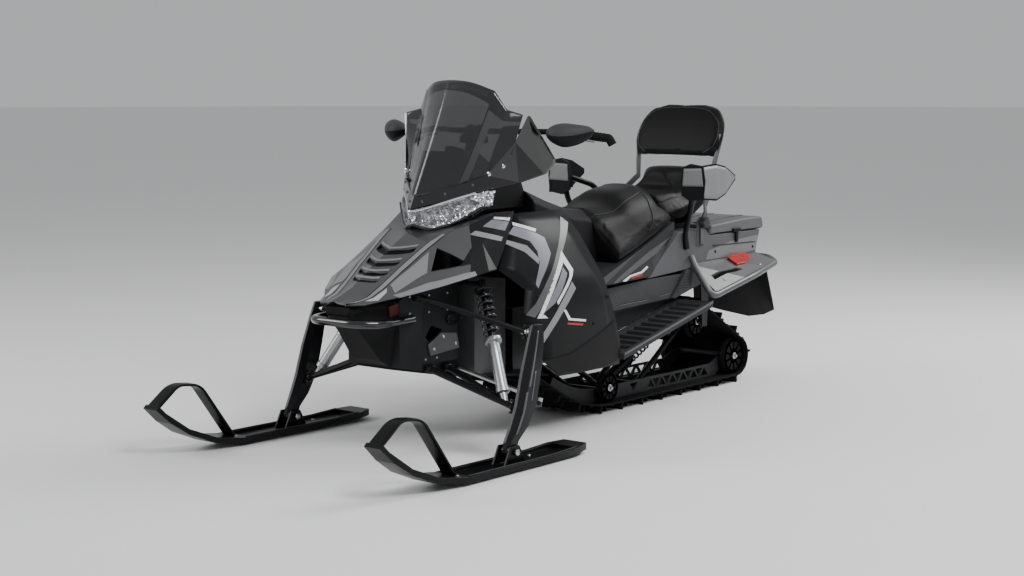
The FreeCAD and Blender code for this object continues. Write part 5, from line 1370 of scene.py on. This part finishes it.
@dataclass
class Cushion:
    """Stuffed cover: stations of a bottom half width and rising (half width, height) points on a floor line."""

    name: str
    node: str
    slot: str
    stations: list[tuple]
    floor: list[Flat]
    cap: float = 7.0
    fill: float = 0.85

    def _rings(self) -> np.ndarray:
        """Rings of points: a smooth closed curve through each station's points, smooth from station to station.

        Returns:
            The array of rings, points and three coordinates.
        """
        table = []
        for x, low_half, *rising in self.stations:
            base = float(np.interp(-x, [-u for u, _ in self.floor], [z for _, z in self.floor]))
            right = [(x, low_half * 0.97, base + 3)] + [(x, y * 0.98, z - 3) for y, z in rising]
            table.append(right + [(x, -y, z) for _, y, z in right[::-1]])
        rows = curved(np.asarray(table, float), 60)
        rings = np.swapaxes(curved(np.swapaxes(rows, 0, 1), 64, closed=True), 0, 1)
        return self._held(rings.reshape(-1, 3)).reshape(rings.shape)

    def _held(self, points: np.ndarray) -> np.ndarray:
        """Points kept above the floor line that the cushion rests on.

        Args:
            points: The points in millimetres, which it changes.

        Returns:
            The same array.
        """
        floor = np.interp(-points[:, 0], [-x for x, _ in self.floor], [z for _, z in self.floor])
        points[:, 2] = np.maximum(points[:, 2], floor + 0.6)
        return points

    def build(self) -> bpy.types.Object:
        """Returns:
            The cushion.
        """
        made = piece(self.name, grid(self._rings(), around=True, capped=True), VINYL, self.node, (self.node,),
                     sharp=180.0)
        swell(made, self.cap, self._held)
        return made


def swell(cushion: bpy.types.Object, cap: float, held: Callable[[np.ndarray], np.ndarray]) -> None:
    """Swells a cover by pressure, with each point's move held to a cap, then subdivides it once.

    Args:
        cushion: The piece to swell.
        cap: The longest move in millimetres.
        held: Function that keeps points in millimetres off what carries the cushion.
    """
    even = cushion.modifiers.new("Even", "REMESH")
    even.mode = "VOXEL"
    even.voxel_size = 0.006
    _apply(cushion)
    before = _coordinates(cushion)
    cloth = cushion.modifiers.new("Cloth", "CLOTH")
    cloth.settings.use_pressure = True
    cloth.settings.uniform_pressure_force = 4.0
    cloth.settings.effector_weights.gravity = 0.0
    cloth.settings.quality = 3
    scene = bpy.context.scene
    for frame in range(1, 21):
        scene.frame_set(frame)
    graph = bpy.context.evaluated_depsgraph_get()
    after = _coordinates(cushion.evaluated_get(graph))
    cushion.modifiers.remove(cloth)
    scene.frame_set(1)
    move = after - before
    size = np.linalg.norm(move, axis=1, keepdims=True)
    move *= np.minimum(1.0, cap / np.maximum(size, 1e-9))
    points = held(before + move)
    cushion.data.vertices.foreach_set("co", (points * MM).ravel())
    cushion.data.update()
    soft = cushion.modifiers.new("Soft", "SUBSURF")
    soft.levels = soft.render_levels = 1
    _apply(cushion)
    points = held(_coordinates(cushion))
    cushion.data.vertices.foreach_set("co", (points * MM).ravel())
    cushion.data.shade_smooth()


def _coordinates(thing: bpy.types.Object) -> np.ndarray:
    """An object's points in millimetres.

    Args:
        thing: The object.

    Returns:
        The array of points.
    """
    flat = np.empty(len(thing.data.vertices) * 3)
    thing.data.vertices.foreach_get("co", flat)
    return flat.reshape(-1, 3) * PER_METRE


def _apply(thing: bpy.types.Object) -> None:
    """Puts the modifiers' result into the mesh and removes them.

    Args:
        thing: The object.
    """
    graph = bpy.context.evaluated_depsgraph_get()
    made = bpy.data.meshes.new_from_object(thing.evaluated_get(graph))
    thing.modifiers.clear()
    thing.data = made


@dataclass
class Seats:
    """Rider's seat, passenger's seat and backrest pad, with their seams."""

    base: list[Flat] = field(default_factory=lambda: [
        (300.0, 560.0), (-20.0, 568.0), (-320.0, 660.0), (-610.0, 753.0)])
    pan: list[Flat] = field(default_factory=lambda: [(-614.0, 754.0), (-745.0, 790.0), (-1038.0, 868.0)])
    rider: list[tuple] = field(default_factory=lambda: [
        (-168.0, 256.0, (176, 752), (112, 797), (46, 818)),
        (-255.0, 256.0, (170, 768), (112, 804), (50, 826)),
        (-323.0, 250.0, (172, 780), (114, 814), (55, 838)),
        (-390.0, 244.0, (172, 802), (114, 851), (55, 877)),
        (-470.0, 236.0, (170, 820), (114, 868), (55, 892)),
        (-560.0, 222.0, (165, 828), (112, 874), (55, 899)),
        (-606.0, 205.0, (155, 820), (105, 860), (50, 882))])
    passenger: list[tuple] = field(default_factory=lambda: [
        (-618.0, 162.0, (148, 820), (118, 854), (60, 864)),
        (-700.0, 178.0, (160, 836), (136, 864), (70, 869)),
        (-745.0, 180.0, (162, 842), (138, 866), (70, 871)),
        (-785.0, 180.0, (162, 848), (128, 872), (60, 884)),
        (-800.0, 180.0, (162, 852), (92, 890), (42, 945)),
        (-870.0, 180.0, (164, 864), (118, 910), (84, 958)),
        (-950.0, 174.0, (164, 872), (140, 925), (100, 958)),
        (-1034.0, 158.0, (146, 884), (132, 918), (94, 940))])

    def build(self) -> None:
        """Makes the three cushions and their seams."""
        rider = Cushion("rider_cushion", "rider_seat", "seat_vinyl", self.rider, self.base).build()
        passenger = Cushion("passenger_cushion", "passenger_seat", "seat_vinyl", self.passenger, self.pan,
                            5.0).build()
        self._seams(rider, passenger)
        self._pad()

    def _seams(self, rider: bpy.types.Object, passenger: bpy.types.Object) -> None:
        """Piping along the top's borders, the fold before the step, and the passenger's border line.

        Args:
            rider: The rider's cushion.
            passenger: The passenger's cushion.
        """
        fold = [(-520, 868), (-512, 838), (-480, 796), (-430, 752), (-395, 728)]
        crease = [(-250, 712), (-330, 728), (-410, 756), (-470, 792)]
        edge = [(-628, 832), (-700, 845), (-790, 852), (-880, 872), (-1020, 890)]
        for part, ray in SIDES:
            sign = ray.value[1]
            seam(f"rider_fold_{part}", fold, rider, ray, "rider_seat", 3.4)
            seam(f"rider_crease_{part}", crease, rider, ray, "rider_seat", 1.5)
            seam(f"passenger_seam_{part}", edge, passenger, ray, "passenger_seat", 2.2)
            border = [(-178, 112 * sign), (-260, 124 * sign), (-360, 128 * sign), (-450, 124 * sign),
                      (-520, 112 * sign)]
            seam(f"rider_border_{part}", border, rider, Ray.ABOVE, "rider_seat", 2.6)
        cross = [(-522, -116), (-528, -60), (-530, 0), (-528, 60), (-522, 116)]
        seam("rider_cross_seam", cross, rider, Ray.ABOVE, "rider_seat", 2.8)

    def _pad(self) -> None:
        """Backrest pad: rows of points across its height, crowned at the front and flat behind."""
        table = np.array([(1008.0, -924.0, 208.0, 150.0), (1050.0, -938.0, 224.0, 170.0),
                          (1100.0, -955.0, 230.0, 175.0), (1160.0, -980.0, 218.0, 160.0),
                          (1208.0, -1006.0, 176.0, 130.0), (1229.0, -1021.0, 100.0, 70.0)])
        rows = curved(table, 40)
        z, face, wide, flat = (rows[:, column, None] for column in range(4))
        half = [(face - 50, wide * 0.55), (face - 48, wide - 26), (face - 22, wide - 2),
                (face - 7, (wide + flat) / 2), (face - 3, flat * 0.8), (face - 1, flat * 0.4)]
        ring = [np.concatenate([x, y, z + 0 * x], -1) for x, y in half]
        ring += [points * (1, -1, 1) for points in ring[::-1]]
        rings = np.swapaxes(curved(np.stack(ring), 56, closed=True), 0, 1)
        made = piece("back_cushion", grid(rings, around=True, capped=True), VINYL, "backrest_pad",
                     ("backrest_pad",), sharp=180.0)
        swell(made, 6.0, self._pad_room)
        border = [(-150, 1022), (-196, 1060), (-205, 1110), (-186, 1165), (-120, 1208), (0, 1216), (120, 1208),
                  (186, 1165), (205, 1110), (196, 1060), (150, 1022)]
        seam("pad_seam_front", border, made, Ray.FRONT, "backrest_pad", 2.2)

    @staticmethod
    def _pad_room(points: np.ndarray) -> np.ndarray:
        """Points kept in the room of the pad, between its lowest and highest heights."""
        points[:, 2] = np.clip(points[:, 2], 1004.0, 1236.0)
        return points


@dataclass
class Rear:
    """Rear tube, grab bars, guards, knobs, latch, screws and the trunk's lines."""

    strut_y: float = 266.2

    def build(self) -> None:
        """Makes the rear's pieces."""
        rail = [(-676, self.strut_y, 606), (-668, self.strut_y + 20, 574), (-656, 386, 446), (-996, 386, 512),
                (-1250, 330, 540), (-1335, 235, 552)]
        loop = rail + [(x, -y, z) for x, y, z in rail[::-1]]
        piece("rear_tube", swept(rounded(loop, 42), 14.0, 22), SILVER_PAINT, "rear_bumper", ("rear_bumper",))
        grab = [(-645, 264.2, 640), (-632, 264.2, 700), (-589, 325, 840), (-589, 322, 925), (-712, 262, 880),
                (-728, 225, 790), (-738, 195, 752), (-740, 152, 745)]
        piece("grab_tubes", swept(rounded(grab, 34), 12.0, 20).both(), SATIN_TUBE, "grab_bars", ("grab_bars",))
        self._guards()
        turn = np.linspace(0, 2 * np.pi, 60, endpoint=False)
        lobes = 22.5 + 3.4 * np.cos(6 * turn)
        rings = np.stack([np.stack([-760 + size * lobes * np.cos(turn), np.full(60, y),
                                    742 + size * lobes * np.sin(turn)], -1)
                          for y, size in ((264.0, 0.8), (267.0, 1.0), (284.0, 1.03), (288.0, 0.92), (289.0, 0.4))])
        knob = grid(rings, around=True, capped=True)
        piece("tilt_knobs", knob.both(), PLASTIC_GREY, "backrest_frame", sharp=50.0)
        self._trunk()

    def _guards(self) -> None:
        """Pale skins on the guards' outer sides and on their fronts."""
        top = [(-566, 986), (-650, 991), (-718, 979), (-796, 941)]
        low = [(-566, 860), (-650, 853), (-718, 874), (-796, 930)]
        for part, ray in SIDES:
            Strip("guard_skin", GUARD, top, low, "passenger_guards", 2.2, 2.0).lay(ray, f"_{part}")
        for part, sign in (("left", 1.0), ("right", -1.0)):
            face = [(300 * sign, 978), (386 * sign, 982)]
            base = [(294 * sign, 905), (396 * sign, 908)]
            Strip("guard_face", GUARD, face, base, "passenger_guards", 2.0, 1.8).lay(Ray.FRONT, f"_{part}")

    def _trunk(self) -> None:
        """Latch, lid line, ribs, plate screws and the tail's small parts."""
        latch = plate([(-1068, 700), (-1012, 700), (-1012, 684), (-1030, 684), (-1032, 640), (-1048, 640),
                       (-1050, 684), (-1068, 684)], 1, 252.5, 263)
        piece("trunk_latch", latch, PLASTIC, "trunk_box", bevel=2.5)
        for part, ray in SIDES:
            Strip("lid_line", TRIM_BLACK, [(-846, 690), (-1262, 690)], [(-846, 686), (-1262, 686)], "trunk_lid",
                  0.6).lay(ray, f"_{part}")
            Strip("trunk_crease", PLASTIC_GREY, [(-860, 640), (-1225, 632)], [(-860, 634), (-1225, 627)],
                  "trunk_box", 2.4, 1.2).lay(ray, f"_{part}")
            Strip("trunk_low", TRUNK_LOW, [(-830, 618), (-1000, 646), (-1226, 660)],
                  [(-806, 580), (-1000, 580), (-1206, 594)], "trunk_box", 1.0).lay(ray, f"_{part}")
            screws = [(-880, 610), (-1180, 610), (-640, 690)]
            studs(f"trunk_screws_{part}", screws, "trunk_box", ray, PLASTIC, 7.0)
        for number, y in enumerate((-150.0, 0.0, 150.0)):
            one, two = [(-880, y - 12), (-1240, y - 12)], [(-880, y + 12), (-1240, y + 12)]
            Strip(f"lid_rib_{number}", LID, one, two, "trunk_lid", 3.0, 2.6).lay(Ray.ABOVE)
        studs("plate_screws", [(-790, 360), (-1090, 345), (-790, -360), (-1090, -345)], "rear_side_plates",
              Ray.ABOVE, STEEL, 7.0)
        edge = [(-1430, 212), (-1520, 108), (-1562, 0), (-1520, -108), (-1430, -212)]
        inner = [(-1410, 206), (-1500, 106), (-1540, 0), (-1500, -106), (-1410, -206)]
        Strip("flap_hem", PLASTIC, edge, inner, "snow_flap", 1.5, 1.2).lay(Ray.ABOVE)


@dataclass
class Flanks:
    """Under-seat band, tunnel panel lines, heel guard holes and the boards' teeth."""

    bands: list[Band] = field(default_factory=lambda: [
        ("base_band", SATIN_GREY_AND_SHEEN, [(-90, 548), (-160, 574), (-395, 650), (-590, 700)],
         [(-100, 540), (-200, 566), (-400, 622), (-590, 676)]),
        ("base_white", TRIM_WHITE, [(-161, 548), (-219, 566), (-314, 574), (-361, 592)],
         [(-190, 545), (-229, 559), (-324, 566), (-372, 585)]),
        ("base_red", TRIM_RED, [(-236, 560), (-316, 567)], [(-230, 551), (-322, 556)]),
        ("base_facet", PLASTIC_GREY, [(-400, 612), (-560, 690)], [(-420, 560), (-572, 668)])])
    lines: list[list[Flat]] = field(default_factory=lambda: [
        [(-150, 506), (-190, 449)], [(-190, 449), (-381, 453), (-320, 506)], [(-300, 506), (-350, 470)],
        [(-420, 506), (-470, 460)], [(-470, 460), (-560, 466)]])
    board_front: Flat = (14.0, 285.2)
    board_rear: Flat = (642.0, 429.0)

    def build(self) -> None:
        """Makes the pieces of both sides."""
        for name, finish, one, two in self.bands:
            for part, ray in SIDES:
                Strip(name, finish, one, two, "seat_base", 1.2).lay(ray, f"_{part}")
        layers = (("groove", TRIM_BLACK, 0.0, 3.0), ("groove_edge", GREY_TRIM_AND_HIGHLIGHT, 3.0, 5.0))
        for number, line in enumerate(self.lines):
            for name, finish, near, far in layers:
                upper = [(x - near, z - near * 0.8) for x, z in line]
                lower = [(x - far, z - far * 0.8) for x, z in line]
                Strip(f"panel_{name}_{number}", finish, upper, lower, "left_tunnel_panel", 0.6).sides()
        self._holes()
        self._teeth()

    def _holes(self) -> None:
        """Rows of small dark squares on the heel guards."""
        rows, columns = np.meshgrid(np.arange(7), np.arange(10), indexing="ij")
        x = -588.0 - 11.0 * columns.ravel() - 5.5 * (rows.ravel() % 2)
        z = 466.0 + 11.0 * rows.ravel()
        line_low = np.interp(-x, (558, 690, 716), (446, 474, 550))
        keep = (z > line_low + 9) & (z < 543) & (x > -706) & (x + (z - 446) * 1.05 < -556 + 40)
        x, z = x[keep], z[keep]
        corner = np.array([(-3.2, 0), (0, -3.2), (3.2, 0), (0, 3.2)])
        side = np.full((len(x), 4), 256.6)
        points = np.stack([x[:, None] + corner[:, 0], side, z[:, None] + corner[:, 1]], -1)
        index = np.arange(len(x) * 4).reshape(-1, 4)
        holes = Shell(points.reshape(-1, 3), [tuple(row) for row in index.tolist()])
        piece("guard_holes_left", holes, TRIM_BLACK, "left_heel_guard", closed=False)
        piece("guard_holes_right", holes.mirrored(), TRIM_BLACK, "right_heel_guard", closed=False)

    def _teeth(self) -> None:
        """Serrated strips along the boards' outer edges: a saw line over the board's own slope."""
        steps = 118
        share = np.linspace(0, 1, steps)
        x = -16 - 624 * share
        (front, foot), (rear, head) = self.board_front, self.board_rear
        board = foot + (-x - front) * (head - foot) / (rear - front)
        top = board + np.where(np.arange(steps) % 2, 7.0, 1.5)
        low = board - 5
        rings = np.stack([np.stack([x, np.full(steps, y), z], -1) for y, z in
                          ((401.5, low), (401.5, top), (397.5, top), (397.5, low))], 1)
        strip = grid(rings, around=True, capped=True)
        piece("board_teeth_left", strip, SATIN_GREY_AND_SHEEN, "left_running_board", sharp=20.0)
        piece("board_teeth_right", strip.mirrored(), SATIN_GREY_AND_SHEEN, "right_running_board", sharp=20.0)


@dataclass
class Skid:
    """Hub caps, wheel tyres and the rear shock's spring."""

    axles: list[tuple[float, float, float]] = field(default_factory=lambda: [
        (-1172.0, 118.0, 80.0), (-235.0, 98.0, 60.0), (-872.0, 304.0, 70.0)])

    def build(self) -> None:
        """Makes the skid frame's pieces."""
        caps, tyres = [], []
        for x, z, radius in self.axles:
            cap = [(0, 15), (5, 15), (7, 12), (8, 7), (14, 7), (15, 5)]
            tyre = [(0, radius - 10), (0, radius - 0.5), (2, radius + 0.3), (24, radius + 0.3),
                    (26, radius - 0.5), (26, radius - 10)]
            caps.append(turned(cap, (x, 169, z), (x, 180, z), 24))
            tyres.append(turned(tyre, (x, 143, z), (x, 150, z), 48))
        piece("hub_caps", joined(caps).both(), SILVER, "idler_wheels")
        piece("wheel_tyres", joined(tyres).both(), RUBBER, "idler_wheels")
        top, low = np.array((-410.0, 0.0, 72.0)), np.array((-770.0, 0.0, 236.0))
        share = np.linspace(0, 1, 150)
        axis = (low - top) / np.linalg.norm(low - top)
        upright = np.cross(axis, (0.0, 1.0, 0.0))
        swing = 2 * np.pi * 6 * share
        path = top + (low - top) * (0.5 + 0.4 * share)[:, None]
        across = np.array((0.0, 1.0, 0.0))
        path = path + 25 * (across * np.cos(swing)[:, None] + upright * np.sin(swing)[:, None])
        piece("rear_spring", swept(path, 4.5, 8), GLOSS, "skid_arms")


def main() -> None:
    """Loads the frame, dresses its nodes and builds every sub-assembly."""
    logging.basicConfig(level=logging.INFO)
    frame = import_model()
    for name, node in frame["nodes"].items():
        finish = SKINS[name].finish if name in SKINS else NODE_FINISHES.get(name, PLASTIC)
        node.data.materials.clear()
        node.data.materials.append(finish.material())
    for name, skin in SKINS.items():
        softened(name, skin)
    Studio().build()
    for part in (SidePanels(), HoodTrim(), PanelTrim(), Lamp(), Screen(), Cockpit(), FrontSuspension(), Skis(),
                 Nose(), Seats(), Rear(), Flanks(), Skid()):
        part.build()
        log.info("built %s", type(part).__name__)


if __name__ == "__main__":
    main()
